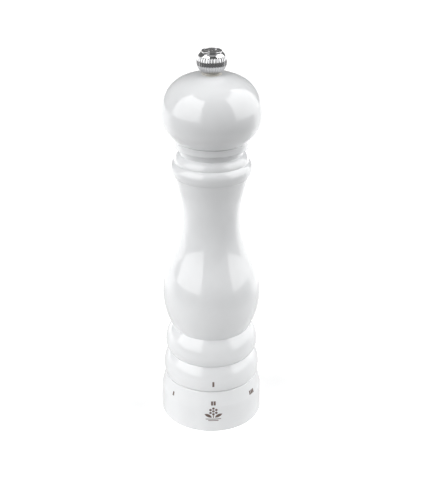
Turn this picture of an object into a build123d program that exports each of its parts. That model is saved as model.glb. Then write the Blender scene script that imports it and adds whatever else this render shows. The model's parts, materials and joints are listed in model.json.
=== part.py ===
"""Table pepper mill with a turned, lacquered beech body, head and base ring.

The base ring selects one of six grinds. It turns a threaded insert, which raises or lowers a keyed
adjuster, and the adjuster carries the grinding cone up into the fixed grinding ring or down out of it.
The head turns a corner-turned square shaft through a steel drive plate, and a fluted knob on the shaft's
threaded end holds the head down.

Units are millimetres. The origin is the centre of the foot of the base ring, +Z runs up the mill's axis,
and the index mark faces -Y.
"""

from build123d import *
import os

os.makedirs("parts", exist_ok=True)

# ---------------------------------------------------------------- driving sizes
total_height = 220.0
base_radius = 29.6

running_clearance = 0.05
sliding_clearance = 0.15
ring_gap = 0.3
head_gap = 0.25

# base ring
ring_height = 25.9
ring_side_inset = 0.25
ring_shoulder_drop = 8.9
ring_shoulder_inset = 1.3
ring_shoulder_middle_drop = 4.8
ring_top_inset = 2.25
ring_wall = 3.8
foot_round = 0.5

# body outline, each as (how far inside the ring's foot, height above the body's base)
bead_base_inset = 2.2
lower_bead_crest = (1.7, 5.3)
lower_groove = (5.1, 14.9)
upper_bead_crest = (2.85, 20.6)
upper_groove = (7.1, 31.7)
belly_crest = (1.76, 52.6)

# body outline, each as (radius, depth below the body's top)
waist = (16.56, 44.9)
flare_middle = (18.0, 31.65)
flare_top = (20.65, 21.8)
collar_base = (21.1, 20.5)
collar_crest = (22.74, 16.4)
collar_step = (20.4, 12.35)
neck_groove = (17.4, 7.8)
lip_undercut = (0.2, 0.6)
lip_radius = 20.4
lip_height = 3.9
edge_round = 0.4

# how far out and up the outline is, part of the way from the belly's crest to the waist
belly_shares = [(0.195, 0.28), (0.63, 0.525), (0.92, 0.775)]
flare_end_tangent = (0.25, 1)

# body hollows
grain_bore_radius = 12.75
spigot_recess_radius = 14.9
spigot_recess_depth = 12.0

# head
head_height = 35.5
head_edge_radius = 21.05
head_low_point = (25.85, 6.1)
head_crest = (28.05, 15.2)
head_high_points = [(26.2, 23.1), (19.8, 31.1), (13.8, 34.1)]
head_flat_radius = 6.5
head_start_tangent = (0.9, 1)
spigot_clearance = 0.3
spigot_length = 11.6
spigot_chamfer = 0.4

# drive shaft and its plate
shaft_square = 6.0
shaft_corner_radius = 4.15
shaft_hole_clearance = 0.45
thread_radius = 2.5
thread_length = 18.0
thread_chamfer = 0.6
pilot_journal_radius = 2.55
pilot_journal_reach = 0.4
shaft_end_rise = 0.6
knob_engagement = 6.2
plate_radius = 11.0
plate_thickness = 1.5
plate_screw_circle = 7.6

# knob
knob_height = 12.1
knob_foot_radius = 3.8
knob_radius = 8.1
knob_crest_height = 6.2
knob_rim_radius = 5.9
knob_flutes = 34
flute_radius = 0.55
flute_depth = 0.35
knob_cap_radius = 5.5
knob_cap_rise = 1.0
knob_cap_thickness = 1.8
insert_radius = 3.3
washer_radius = 3.4
washer_thickness = 0.5

# mechanism housing
stator_radius = 16.0
stator_height = 16.2
sleeve_wall = 2.8
skirt_wall = 2.2
skirt_depth = 17.2
flange_thickness = 3.6
flange_radius = 24.8
ledge_thickness = 1.4
housing_clearance = 0.2
snap_ring_land = 2.2
sleeve_end_clearance = 0.4
clip_groove_depth = 0.7
clip_reach = 1.9
housing_screw_circle = 22.0
housing_screw_count = 3

# grinding pair
grind_slope = 0.36
grind_gap = 0.35
rotor_radius = 13.0
rotor_fine_height = 4.0
rotor_top_radius = 7.2
rotor_height = 18.1
rotor_nose_radius = 5.2
rotor_nose_drop = 3.2
rotor_edge_rise = 0.6
spring_pocket_depth = 6.5

# setting ring and adjuster
setting_count = 6
setting_step = 53.0
insert_wall = 3.9
web_thickness = 3.0
clip_thickness = 1.0
adjuster_arm_width = 5.0
adjuster_arm_height = 3.6
adjuster_arm_drop = 6.2
adjuster_hub_radius = 6.0
adjuster_hub_drop = 1.4
keyway_land = 0.9
detent_ball_radius = 1.25
detent_travel = 0.4

# printed marks
ink_depth = 0.25
ink_proud = 0.05
mark_height = 2.4
mark_block_angle = 2.35
mark_gap_angle = 0.65
mark_middle = 19.2
index_angle = 2.3
index_height = 3.3
index_middle = 31.6

# ---------------------------------------------------------------- levels worked out from them
front = 270.0
body_base = ring_height + ring_gap
knob_base = total_height - knob_height
head_top = knob_base - washer_thickness
head_base = head_top - head_height
body_top = head_base - head_gap

sleeve_inner = stator_radius
sleeve_outer = sleeve_inner + sleeve_wall
mechanism_bore = sleeve_outer + housing_clearance
skirt_outer = sleeve_outer + housing_clearance
skirt_inner = skirt_outer - skirt_wall
flange_bottom = body_base - flange_thickness
skirt_bottom = body_base - skirt_depth
stator_bottom = flange_bottom + ledge_thickness
stator_top = stator_bottom + stator_height

bridge_height = 2.8
bridge_top = stator_top + bridge_height
snap_ring_thickness = 1.0
sleeve_top = bridge_top + snap_ring_thickness + snap_ring_land
mechanism_bore_top = sleeve_top + sleeve_end_clearance

rotor_bottom = flange_bottom - rotor_nose_drop
rotor_top = rotor_bottom + rotor_height
rotor_edge = flange_bottom + rotor_edge_rise
spring_seat = rotor_top - spring_pocket_depth
thrust_washer_thickness = 0.6
bush_flange_thickness = 0.8

web_top = flange_bottom - housing_clearance
web_bottom = web_top - web_thickness
ring_side_radius = base_radius - ring_side_inset
ring_top_radius = base_radius - ring_top_inset
ring_inner = base_radius - ring_wall
setting_bore = ring_inner - insert_wall
clip_top = web_bottom - housing_clearance
clip_bottom = clip_top - clip_thickness
clip_groove_radius = skirt_outer - clip_groove_depth
clip_outer = skirt_outer + clip_reach
arm_bottom = clip_bottom - adjuster_arm_drop
arm_top = arm_bottom + adjuster_arm_height
slot_top = clip_bottom - keyway_land

spigot_radius = spigot_recess_radius - spigot_clearance
spigot_bottom = head_base - spigot_length
shaft_top = knob_base + knob_engagement
thread_base = shaft_top - thread_length
shaft_hole_radius = shaft_corner_radius + shaft_hole_clearance


def finish(piece, name):
    """Labels one finished piece and writes it to its own file."""
    piece.part.label = name
    export_step(piece.part, f"parts/{name}.step")


def rise(point):
    """A body outline point given by its inset from the ring's foot and its height above the body's base."""
    return (base_radius - point[0], body_base + point[1])


def drop(point):
    """A body outline point given as a depth below the body's top."""
    return (point[0], body_top - point[1])


def between(low, high, radial_share, height_share):
    """The point part of the way from one outline point to another."""
    return (
        low[0] + (high[0] - low[0]) * radial_share,
        low[1] + (high[1] - low[1]) * height_share,
    )


def turned_plane(angle):
    """An upright plane through the mill's axis, its x direction turned by an angle from +X."""
    return Plane.XZ.rotated((0, 0, angle))


def bead(low, crest, high):
    """Two arcs that meet upright at a bead's crest."""
    TangentArc(crest, low, tangent=(0, -1))
    TangentArc(crest, high, tangent=(0, 1))


# ---------------------------------------------------------------- turned outlines
ring_side_height = ring_height - ring_shoulder_drop

with BuildSketch(Plane.XZ) as ring_outline:
    with BuildLine():
        Polyline((0, ring_height), (0, 0), (base_radius - foot_round, 0))
        Line((base_radius - foot_round, 0), (base_radius, foot_round))
        Line((base_radius, foot_round), (ring_side_radius, ring_side_height))
        ThreePointArc(
            (ring_side_radius, ring_side_height),
            (base_radius - ring_shoulder_inset, ring_height - ring_shoulder_middle_drop),
            (ring_top_radius, ring_height - edge_round),
        )
        Polyline(
            (ring_top_radius, ring_height - edge_round),
            (ring_top_radius - edge_round, ring_height),
            (0, ring_height),
        )
    make_face()

bead_base_radius = base_radius - bead_base_inset
bead_start = (bead_base_radius, body_base + edge_round)
groove_top = (neck_groove[0] + lip_undercut[0], body_top - lip_height - lip_undercut[1])
with BuildSketch(Plane.XZ) as body_outline:
    with BuildLine():
        Polyline((0, body_top), (0, body_base), (bead_base_radius - edge_round, body_base), bead_start)
        bead(bead_start, rise(lower_bead_crest), rise(lower_groove))
        bead(rise(lower_groove), rise(upper_bead_crest), rise(upper_groove))
        TangentArc(rise(belly_crest), rise(upper_groove), tangent=(0, -1))
        Spline(
            rise(belly_crest),
            *[between(rise(belly_crest), drop(waist), *shares) for shares in belly_shares],
            drop(waist),
            tangents=[(0, 1), (0, 1)],
        )
        Spline(drop(waist), drop(flare_middle), drop(flare_top), tangents=[(0, 1), flare_end_tangent])
        Line(drop(flare_top), drop(collar_base))
        bead(drop(collar_base), drop(collar_crest), drop(collar_step))
        TangentArc(drop(collar_step), drop(neck_groove), tangent=(0, 1))
        Polyline(
            drop(neck_groove),
            groove_top,
            (lip_radius - edge_round, body_top - lip_height),
            (lip_radius, body_top - lip_height + edge_round),
            (lip_radius, body_top - edge_round),
            (lip_radius - edge_round, body_top),
            (0, body_top),
        )
    make_face()

with BuildSketch(Plane.XZ) as head_outline:
    with BuildLine():
        Polyline(
            (0, head_top),
            (0, head_base),
            (head_edge_radius - edge_round, head_base),
            (head_edge_radius, head_base + edge_round / 2),
        )
        Spline(
            (head_edge_radius, head_base + edge_round / 2),
            (head_low_point[0], head_base + head_low_point[1]),
            (head_crest[0], head_base + head_crest[1]),
            *[(radius, head_base + height) for radius, height in head_high_points],
            (head_flat_radius, head_top),
            tangents=[head_start_tangent, (-1, 0)],
        )
        Line((head_flat_radius, head_top), (0, head_top))
    make_face()


def film(outline, middle, height, start_angle, sweep_angle):
    """A thin band of print that follows a turned outline, from one angle round to another."""
    with BuildPart() as band:
        with BuildSketch(turned_plane(start_angle)):
            with Locations((ink_proud, 0)):
                add(outline.sketch_local)
            with Locations((-ink_depth, 0)):
                add(outline.sketch_local, mode=Mode.SUBTRACT)
            with Locations((base_radius, middle)):
                Rectangle(base_radius, height, mode=Mode.INTERSECT)
        revolve(axis=Axis.Z, revolution_arc=sweep_angle)
    return band.part


# ---------------------------------------------------------------- base ring group
# One mark for each setting, with one block of print for each step coarser.
setting_marks = []
for setting in range(1, setting_count + 1):
    middle_angle = front + (setting - 2) * setting_step
    pitch_angle = mark_block_angle + mark_gap_angle
    first_angle = middle_angle - (setting * pitch_angle - mark_gap_angle) / 2
    blocks = [
        film(ring_outline, mark_middle, mark_height, first_angle + block * pitch_angle, mark_block_angle)
        for block in range(setting)
    ]
    with BuildPart() as setting_mark:
        add(blocks)
    setting_marks.append(setting_mark)
    finish(setting_mark, f"setting_mark_{setting}")

# Emblem: a plain sprig with two leaves and seven peppercorns over two short bars.
emblem_middle = 12.4
emblem_margin = 2.0
berry_radius = 0.75
berries = [(0, 3.6), (-1.7, 2.6), (1.7, 2.6), (0, 1.7), (-1.7, 0.6), (1.7, 0.6), (0, -0.3)]
leaf_root, leaf_tip = (0.9, -2.6), (5.2, -0.4)
leaf_low_middle, leaf_high_middle = (2.9, -2.4), (2.5, -0.5)
stalk = (0.5, 1.8, -1.9)
bars = [(9.0, 0.45, -3.7), (6.0, 0.45, -4.7)]
with BuildPart() as base_emblem:
    with BuildSketch(Plane.XZ.offset(base_radius)) as sprig:
        with Locations(*[(x, emblem_middle + z) for x, z in berries]):
            Circle(berry_radius)
        for side in (-1, 1):
            root, tip, low_middle, high_middle = [
                (side * x, emblem_middle + z)
                for x, z in (leaf_root, leaf_tip, leaf_low_middle, leaf_high_middle)
            ]
            with BuildLine():
                ThreePointArc(root, low_middle, tip)
                ThreePointArc(root, high_middle, tip)
            make_face()
        for width, height, rise_from_middle in (stalk, *bars):
            with Locations((0, emblem_middle + rise_from_middle)):
                Rectangle(width, height)
    extrude(amount=-base_radius / 2)
    with BuildSketch(Plane.XZ) as emblem_skin:
        with Locations((ink_proud, 0)):
            add(ring_outline.sketch_local)
        with Locations((-ink_depth, 0)):
            add(ring_outline.sketch_local, mode=Mode.SUBTRACT)
        with Locations((base_radius, emblem_middle)):
            Rectangle(base_radius, ring_side_height - emblem_margin, mode=Mode.INTERSECT)
    revolve(axis=Axis.Z, mode=Mode.INTERSECT)
finish(base_emblem, "base_emblem")

with BuildPart() as ring_shell:
    revolve(ring_outline.sketch, axis=Axis.Z)
    Cylinder(ring_inner, 4 * ring_height, mode=Mode.SUBTRACT)
    add([mark.part for mark in setting_marks], mode=Mode.SUBTRACT)
    add(base_emblem.part, mode=Mode.SUBTRACT)
finish(ring_shell, "ring_shell")

# Detent notches stand one setting step apart, so the ball faces one at every setting.
notch_depth = detent_travel + running_clearance
detent_middle = flange_bottom + flange_thickness / 2
collar_bore = flange_radius + 2 * sliding_clearance
insert_bottom = 3.0
insert_top = ring_height - edge_round
with BuildPart() as ring_insert:
    with BuildSketch(Plane.XZ):
        with BuildLine():
            Polyline(
                (setting_bore, insert_bottom),
                (ring_inner, insert_bottom),
                (ring_inner, insert_top),
                (collar_bore, insert_top),
                (collar_bore, web_top),
                (skirt_outer + sliding_clearance, web_top),
                (skirt_outer + sliding_clearance, web_bottom),
                (setting_bore, web_bottom),
                close=True,
            )
        make_face()
    revolve(axis=Axis.Z)
    notch_centre = collar_bore + notch_depth - detent_ball_radius
    for setting in range(setting_count):
        with PolarLocations(notch_centre, 1, start_angle=180 + (setting - 1) * setting_step):
            with Locations((0, 0, detent_middle)):
                Sphere(detent_ball_radius + running_clearance, mode=Mode.SUBTRACT)
finish(ring_insert, "ring_insert")

# ---------------------------------------------------------------- body and mechanism housing
index_mark_film = film(body_outline, index_middle, index_height, front - index_angle / 2, index_angle)
with BuildPart() as index_mark:
    add(index_mark_film)
finish(index_mark, "index_mark")

pilot_radius = 1.5
pilot_depth = 9.0
with BuildPart() as body_shell:
    revolve(body_outline.sketch, axis=Axis.Z)
    with BuildSketch(Plane.XY.offset(body_base)):
        Circle(mechanism_bore)
    extrude(amount=mechanism_bore_top - body_base, mode=Mode.SUBTRACT)
    with BuildSketch(Plane.XY.offset(body_base)):
        Circle(grain_bore_radius)
    extrude(amount=body_top - body_base, mode=Mode.SUBTRACT)
    with BuildSketch(Plane.XY.offset(body_top)):
        Circle(spigot_recess_radius)
    extrude(amount=-spigot_recess_depth, mode=Mode.SUBTRACT)
    with BuildSketch(Plane.XY.offset(body_base)):
        with PolarLocations(housing_screw_circle, housing_screw_count):
            Circle(pilot_radius)
    extrude(amount=pilot_depth, mode=Mode.SUBTRACT)
    add(index_mark.part, mode=Mode.SUBTRACT)
finish(body_shell, "body_shell")

screw_head_radius = 2.4
arm_count = 3
snap_ring_depth = 0.6
detent_bore_radius = detent_ball_radius + running_clearance
detent_bore_depth = 5.2
ledge_inner = stator_radius - 1.6
skirt_inner_chamfer = 1.2
screw_hole_clearance = 0.1
countersink_clearance = 0.05
with BuildPart() as mechanism_housing:
    with BuildSketch(Plane.XZ):
        with BuildLine():
            Polyline(
                (skirt_inner, skirt_bottom),
                (skirt_outer, skirt_bottom),
                (skirt_outer, flange_bottom),
                (flange_radius, flange_bottom),
                (flange_radius, body_base),
                (sleeve_outer, body_base),
                (sleeve_outer, sleeve_top),
                (sleeve_inner, sleeve_top),
                (sleeve_inner, stator_bottom),
                (ledge_inner, stator_bottom),
                (ledge_inner, flange_bottom),
                (skirt_inner, flange_bottom - skirt_inner_chamfer),
                close=True,
            )
        make_face()
    revolve(axis=Axis.Z)
    # snap ring groove over the bridge, and the clip groove under the ring insert's web
    with BuildSketch(Plane.XY.offset(bridge_top)):
        Circle(sleeve_inner + snap_ring_depth)
    extrude(amount=snap_ring_thickness, mode=Mode.SUBTRACT)
    with BuildSketch(Plane.XY.offset(clip_bottom)):
        Circle(skirt_outer + 1)
        Circle(clip_groove_radius, mode=Mode.SUBTRACT)
    extrude(amount=clip_thickness, mode=Mode.SUBTRACT)
    # keyways for the adjuster's arms
    with BuildSketch(Plane.XY.offset(skirt_bottom)):
        with PolarLocations(skirt_inner, arm_count, start_angle=90):
            Rectangle(4 * skirt_wall, adjuster_arm_width + 2 * sliding_clearance)
    extrude(amount=slot_top - skirt_bottom, mode=Mode.SUBTRACT)
    # countersunk holes for the body screws
    with Locations(Plane.XY.offset(flange_bottom).rotated((180, 0, 0))):
        with PolarLocations(housing_screw_circle, housing_screw_count):
            CounterSinkHole(
                pilot_radius + screw_hole_clearance,
                screw_head_radius + countersink_clearance,
                depth=flange_thickness,
            )
    # pocket for the detent ball and its spring
    with BuildSketch(Plane.YZ.offset(-flange_radius)):
        with Locations((0, detent_middle)):
            Circle(detent_bore_radius)
    extrude(amount=detent_bore_depth, mode=Mode.SUBTRACT)
finish(mechanism_housing, "mechanism_housing")


recess_share = 0.6


def countersunk_screw(head_radius, head_depth, shank_radius, length):
    """A countersunk screw with a cross recess, its head face down at the origin and its point up."""
    with BuildPart() as screw:
        with BuildSketch(Plane.XZ):
            with BuildLine():
                Polyline(
                    (0, 0),
                    (head_radius, 0),
                    (shank_radius, head_depth),
                    (shank_radius, length - 2 * shank_radius),
                    (0, length),
                    close=True,
                )
            make_face()
        revolve(axis=Axis.Z)
        with BuildSketch(Plane.XY):
            Rectangle(head_radius, head_radius / 4)
            Rectangle(head_radius / 4, head_radius)
        extrude(amount=head_depth * recess_share, mode=Mode.SUBTRACT)
    return screw.part


body_screw_length = 11.5
body_screw = countersunk_screw(
    screw_head_radius,
    screw_head_radius - pilot_radius + screw_hole_clearance,
    pilot_radius - running_clearance,
    body_screw_length,
)
with BuildPart() as housing_screws:
    with Locations((0, 0, flange_bottom + running_clearance)):
        with PolarLocations(housing_screw_circle, housing_screw_count):
            add(body_screw)
finish(housing_screws, "housing_screws")

clip_opening = 5.0
with BuildPart() as ring_clip:
    with BuildSketch(Plane.XY.offset(clip_bottom)):
        Circle(clip_outer)
        Circle(clip_groove_radius + running_clearance, mode=Mode.SUBTRACT)
        with Locations((0, clip_outer)):
            Rectangle(clip_opening, 2 * clip_outer - 2 * clip_groove_radius + 1, mode=Mode.SUBTRACT)
    extrude(amount=clip_thickness)
finish(ring_clip, "ring_clip")

# ---------------------------------------------------------------- grinding ring and cone
throat_height = rotor_edge + rotor_fine_height
stator_mouth_radius = rotor_radius - grind_slope * (stator_bottom - rotor_edge) + grind_gap
stator_throat_radius = rotor_radius - grind_slope * rotor_fine_height + grind_gap
stator_rim_radius = ledge_inner
stator_flutes = 9
stator_flute_size = (1.5, 18.0)
stator_flute_place = (1.2, 8.0)
stator_flute_lean = (28, 9, 0)
stator_teeth = 36
stator_tooth_size = (0.9, 9.0)
stator_tooth_place = (0.6, -1.5)
stator_tooth_lean = (-20, 20, 45)


def cutter_location(radius, level, place, lean):
    """Where a tooth or flute cutter stands: out from a radius, up from a level, and leaning."""
    return Location((radius + place[0], 0, level + place[1]), lean)


with BuildPart() as stator_flute:
    with Locations(
        cutter_location(stator_throat_radius, throat_height, stator_flute_place, stator_flute_lean)
    ):
        Cylinder(*stator_flute_size)
with BuildPart() as stator_tooth:
    with Locations(
        cutter_location(stator_throat_radius, throat_height, stator_tooth_place, stator_tooth_lean)
    ):
        Box(stator_tooth_size[0], *stator_tooth_size)
with BuildPart() as stator:
    with BuildSketch(Plane.XZ):
        with BuildLine():
            Polyline(
                (stator_mouth_radius, stator_bottom),
                (stator_radius, stator_bottom),
                (stator_radius, stator_top),
                (stator_rim_radius, stator_top),
                (stator_throat_radius, throat_height),
                close=True,
            )
        make_face()
    revolve(axis=Axis.Z)
    with PolarLocations(0, stator_flutes):
        add(stator_flute.part, mode=Mode.SUBTRACT)
    with PolarLocations(0, stator_teeth):
        add(stator_tooth.part, mode=Mode.SUBTRACT)
finish(stator, "stator")

rotor_waist_radius = rotor_radius - grind_slope * rotor_fine_height
rotor_flutes = 8
rotor_flute_size = (1.7, 22.0)
rotor_flute_place = (0.0, 5.0)
rotor_flute_lean = (-32, -22, 0)
rotor_teeth = 32
rotor_tooth_size = (0.8, 9.0)
rotor_tooth_place = (-0.5, 1.6)
rotor_tooth_lean = (24, -20, 45)
rotor_edge_bevel = (0.4, 0.6)
spring_pocket_radius = 5.8
with BuildPart() as rotor_flute:
    with Locations(
        cutter_location(rotor_waist_radius, throat_height, rotor_flute_place, rotor_flute_lean)
    ):
        Cylinder(*rotor_flute_size)
with BuildPart() as rotor_tooth:
    with Locations(cutter_location(rotor_radius, rotor_edge, rotor_tooth_place, rotor_tooth_lean)):
        Box(rotor_tooth_size[0], *rotor_tooth_size)
with BuildPart() as rotor:
    with BuildSketch(Plane.XZ):
        with BuildLine():
            Polyline(
                (0, rotor_bottom),
                (rotor_nose_radius, rotor_bottom),
                (rotor_radius - rotor_edge_bevel[0], rotor_edge - rotor_edge_bevel[1]),
                (rotor_radius, rotor_edge),
                (rotor_waist_radius, throat_height),
                (rotor_top_radius, rotor_top),
                (0, rotor_top),
                close=True,
            )
        make_face()
    revolve(axis=Axis.Z)
    with PolarLocations(0, rotor_flutes):
        add(rotor_flute.part, mode=Mode.SUBTRACT)
    with PolarLocations(0, rotor_teeth):
        add(rotor_tooth.part, mode=Mode.SUBTRACT)
    with BuildSketch(Plane.XY.offset(rotor_bottom)):
        Rectangle(shaft_square + 2 * running_clearance, shaft_square + 2 * running_clearance)
    extrude(amount=rotor_height, mode=Mode.SUBTRACT)
    with BuildSketch(Plane.XY.offset(rotor_top)):
        Circle(spring_pocket_radius)
    extrude(amount=spring_seat - rotor_top, mode=Mode.SUBTRACT)
finish(rotor, "rotor")

# ---------------------------------------------------------------- bridge that centres the shaft
bridge_arm_width = 4.0
bridge_arm_inset = 0.6
bridge_hub_radius = 7.0
bridge_bush_radius = 5.5
bridge_first_arm = 30
bush_lip = 0.6
with BuildPart() as shaft_bridge:
    with BuildSketch(Plane.XY.offset(stator_top)):
        Circle(stator_radius)
        Circle(stator_rim_radius, mode=Mode.SUBTRACT)
        with PolarLocations(stator_radius / 2, arm_count, start_angle=bridge_first_arm):
            Rectangle(stator_radius - bridge_arm_inset, bridge_arm_width)
        Circle(bridge_hub_radius)
        Circle(bridge_bush_radius, mode=Mode.SUBTRACT)
    extrude(amount=bridge_height)
finish(shaft_bridge, "shaft_bridge")

bush_lip_reach = 1.0
with BuildPart() as bridge_bush:
    with BuildSketch(Plane.XZ):
        with BuildLine():
            Polyline(
                (shaft_corner_radius + running_clearance, stator_top),
                (bridge_bush_radius, stator_top),
                (bridge_bush_radius, bridge_top),
                (bridge_bush_radius + bush_lip_reach, bridge_top),
                (bridge_bush_radius + bush_lip_reach, bridge_top + bush_lip),
                (shaft_corner_radius + running_clearance, bridge_top + bush_lip),
                close=True,
            )
        make_face()
    revolve(axis=Axis.Z)
finish(bridge_bush, "bridge_bush")

snap_ring_reach = 1.4
snap_ring_opening = 6.0
with BuildPart() as bridge_snap_ring:
    with BuildSketch(Plane.XY.offset(bridge_top)):
        Circle(sleeve_inner + snap_ring_depth - running_clearance)
        Circle(sleeve_inner - snap_ring_reach, mode=Mode.SUBTRACT)
        with Locations((0, sleeve_inner)):
            Rectangle(snap_ring_opening, snap_ring_opening, mode=Mode.SUBTRACT)
    extrude(amount=snap_ring_thickness)
finish(bridge_snap_ring, "bridge_snap_ring")

# ---------------------------------------------------------------- drive shaft group
shaft_clip_thickness = 0.8
shaft_washer_thickness = 0.5
shaft_groove_radius = 3.4
shaft_washer_top = stator_top - running_clearance
lower_clip_top = shaft_washer_top - shaft_washer_thickness
lower_clip_bottom = lower_clip_top - shaft_clip_thickness
upper_clip_bottom = bridge_top + bush_lip + running_clearance
shaft_bottom = rotor_bottom + shaft_end_rise
pilot_bottom = arm_bottom - pilot_journal_reach
pilot_chamfer = 0.5
with BuildPart() as drive_shaft:
    with BuildSketch(Plane.XY.offset(shaft_bottom)):
        Rectangle(shaft_square, shaft_square)
        Circle(shaft_corner_radius, mode=Mode.INTERSECT)
    extrude(amount=thread_base - shaft_bottom)
    with BuildSketch(Plane.XY.offset(thread_base)):
        Circle(thread_radius)
    extrude(amount=thread_length)
    chamfer(faces().sort_by(Axis.Z)[-1].edges(), thread_chamfer)
    with BuildSketch(Plane.XY.offset(shaft_bottom)):
        Circle(pilot_journal_radius)
    extrude(amount=pilot_bottom - shaft_bottom)
    chamfer(faces().sort_by(Axis.Z)[0].edges(), pilot_chamfer)
    for groove_bottom in (lower_clip_bottom, upper_clip_bottom):
        with BuildSketch(Plane.XY.offset(groove_bottom)):
            Circle(shaft_corner_radius + 1)
            Circle(shaft_groove_radius, mode=Mode.SUBTRACT)
        extrude(amount=shaft_clip_thickness, mode=Mode.SUBTRACT)
finish(drive_shaft, "drive_shaft")

shaft_clip_outer = shaft_corner_radius + 1.45
shaft_clip_opening = 3.6
for level, name in ((lower_clip_bottom, "shaft_clip_lower"), (upper_clip_bottom, "shaft_clip_upper")):
    with BuildPart() as shaft_clip:
        with BuildSketch(Plane.XY.offset(level)):
            Circle(shaft_clip_outer)
            Circle(shaft_groove_radius + running_clearance, mode=Mode.SUBTRACT)
            with Locations((0, shaft_groove_radius)):
                Rectangle(shaft_clip_opening, shaft_clip_outer, mode=Mode.SUBTRACT)
        extrude(amount=shaft_clip_thickness)
    finish(shaft_clip, name)

with BuildPart() as shaft_washer:
    with BuildSketch(Plane.XY.offset(lower_clip_top)):
        Circle(bridge_hub_radius - housing_clearance)
        Circle(shaft_corner_radius + running_clearance, mode=Mode.SUBTRACT)
    extrude(amount=shaft_washer_thickness)
finish(shaft_washer, "shaft_washer")

spring_wire_radius = 0.4
spring_clearance = 0.2
spring_radius = shaft_corner_radius + spring_clearance + 2 * spring_wire_radius
spring_turns = 4
spring_height = lower_clip_bottom - spring_seat - 2 * spring_wire_radius
spring_base = spring_seat + spring_wire_radius
with BuildPart() as rotor_spring:
    with BuildLine():
        coil = Helix(
            pitch=spring_height / spring_turns,
            height=spring_height,
            radius=spring_radius,
            center=(0, 0, spring_base),
        )
    with BuildSketch(Plane(origin=coil @ 0, z_dir=coil % 0)):
        Circle(spring_wire_radius - running_clearance / 2)
    sweep(path=coil)
finish(rotor_spring, "rotor_spring")

# ---------------------------------------------------------------- adjuster under the cone
bush_radius = 4.0
lug_clearance = 0.6
bush_top = rotor_bottom - thrust_washer_thickness
hub_top = bush_top - bush_flange_thickness
hub_bottom = arm_bottom - adjuster_hub_drop
lug_inner = skirt_outer + lug_clearance
lug_outer = setting_bore - sliding_clearance
lug_sector = 24.0
lug_root = 0.8
with BuildPart() as adjuster:
    with BuildSketch(Plane.XY.offset(arm_bottom)):
        with PolarLocations(lug_inner / 2, arm_count, start_angle=90):
            Rectangle(lug_inner + lug_root, adjuster_arm_width)
    extrude(amount=adjuster_arm_height)
    with BuildSketch(Plane.XY.offset(hub_bottom)):
        Circle(adjuster_hub_radius)
    extrude(amount=hub_top - hub_bottom)
    for arm in range(arm_count):
        with BuildSketch(turned_plane(90 + arm * 360 / arm_count - lug_sector / 2)):
            with Locations(((lug_inner + lug_outer) / 2, (arm_bottom + arm_top) / 2)):
                Rectangle(lug_outer - lug_inner, adjuster_arm_height)
        revolve(axis=Axis.Z, revolution_arc=lug_sector)
    with BuildSketch(Plane.XY.offset(hub_bottom)):
        Circle(bush_radius)
    extrude(amount=hub_top - hub_bottom, mode=Mode.SUBTRACT)
finish(adjuster, "adjuster")

pilot_bore_radius = pilot_journal_radius + running_clearance
with BuildPart() as adjuster_bush:
    with BuildSketch(Plane.XZ):
        with BuildLine():
            Polyline(
                (pilot_bore_radius, hub_bottom),
                (bush_radius, hub_bottom),
                (bush_radius, hub_top),
                (rotor_nose_radius, hub_top),
                (rotor_nose_radius, bush_top),
                (pilot_bore_radius, bush_top),
                close=True,
            )
        make_face()
    revolve(axis=Axis.Z)
finish(adjuster_bush, "adjuster_bush")

with BuildPart() as thrust_washer:
    with BuildSketch(Plane.XY.offset(bush_top)):
        Circle(rotor_nose_radius)
        Circle(pilot_bore_radius + sliding_clearance, mode=Mode.SUBTRACT)
    extrude(amount=thrust_washer_thickness)
finish(thrust_washer, "thrust_washer")

# ---------------------------------------------------------------- detent between housing and ring
ball_middle_radius = collar_bore - running_clearance - detent_ball_radius
with BuildPart() as detent_ball:
    with Locations((-ball_middle_radius, 0, detent_middle)):
        Sphere(detent_ball_radius)
finish(detent_ball, "detent_ball")

detent_wire_radius = 0.2
ball_seat_share = 0.8
detent_coil_radius = detent_ball_radius - detent_wire_radius - 2 * running_clearance
detent_coil_start = flange_radius - detent_bore_depth + detent_wire_radius
detent_coil_end = ball_middle_radius - detent_ball_radius * ball_seat_share - detent_wire_radius
detent_turns = 4
detent_coil_length = detent_coil_end - detent_coil_start
with BuildPart() as detent_spring:
    with BuildLine():
        detent_coil = Helix(
            pitch=detent_coil_length / detent_turns,
            height=detent_coil_length,
            radius=detent_coil_radius,
            center=(-detent_coil_start, 0, detent_middle),
            direction=(-1, 0, 0),
        )
    with BuildSketch(Plane(origin=detent_coil @ 0, z_dir=detent_coil % 0)):
        Circle(detent_wire_radius - running_clearance / 5)
    sweep(path=detent_coil)
finish(detent_spring, "detent_spring")

# ---------------------------------------------------------------- head group
bush_length = 8.0
head_bush_wall = 1.0
head_bush_radius = shaft_hole_radius + head_bush_wall
plate_top = spigot_bottom + plate_thickness
plate_screw_count = 2
plate_pilot_radius = 1.1
plate_pilot_depth = 6.0
with BuildPart() as head_shell:
    revolve(head_outline.sketch, axis=Axis.Z)
    with BuildSketch(Plane.XY.offset(spigot_bottom)):
        Circle(spigot_radius)
    extrude(amount=head_base - spigot_bottom)
    chamfer(faces().sort_by(Axis.Z)[0].edges(), spigot_chamfer)
    with BuildSketch(Plane.XY.offset(spigot_bottom)):
        Circle(shaft_hole_radius)
    extrude(amount=head_top - spigot_bottom, mode=Mode.SUBTRACT)
    with BuildSketch(Plane.XY.offset(spigot_bottom)):
        Circle(plate_radius)
    extrude(amount=plate_thickness, mode=Mode.SUBTRACT)
    with BuildSketch(Plane.XY.offset(plate_top)):
        with PolarLocations(plate_screw_circle, plate_screw_count):
            Circle(plate_pilot_radius)
    extrude(amount=plate_pilot_depth, mode=Mode.SUBTRACT)
    with BuildSketch(Plane.XY.offset(head_top)):
        Circle(head_bush_radius)
    extrude(amount=-bush_length, mode=Mode.SUBTRACT)
finish(head_shell, "head_shell")

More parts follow.
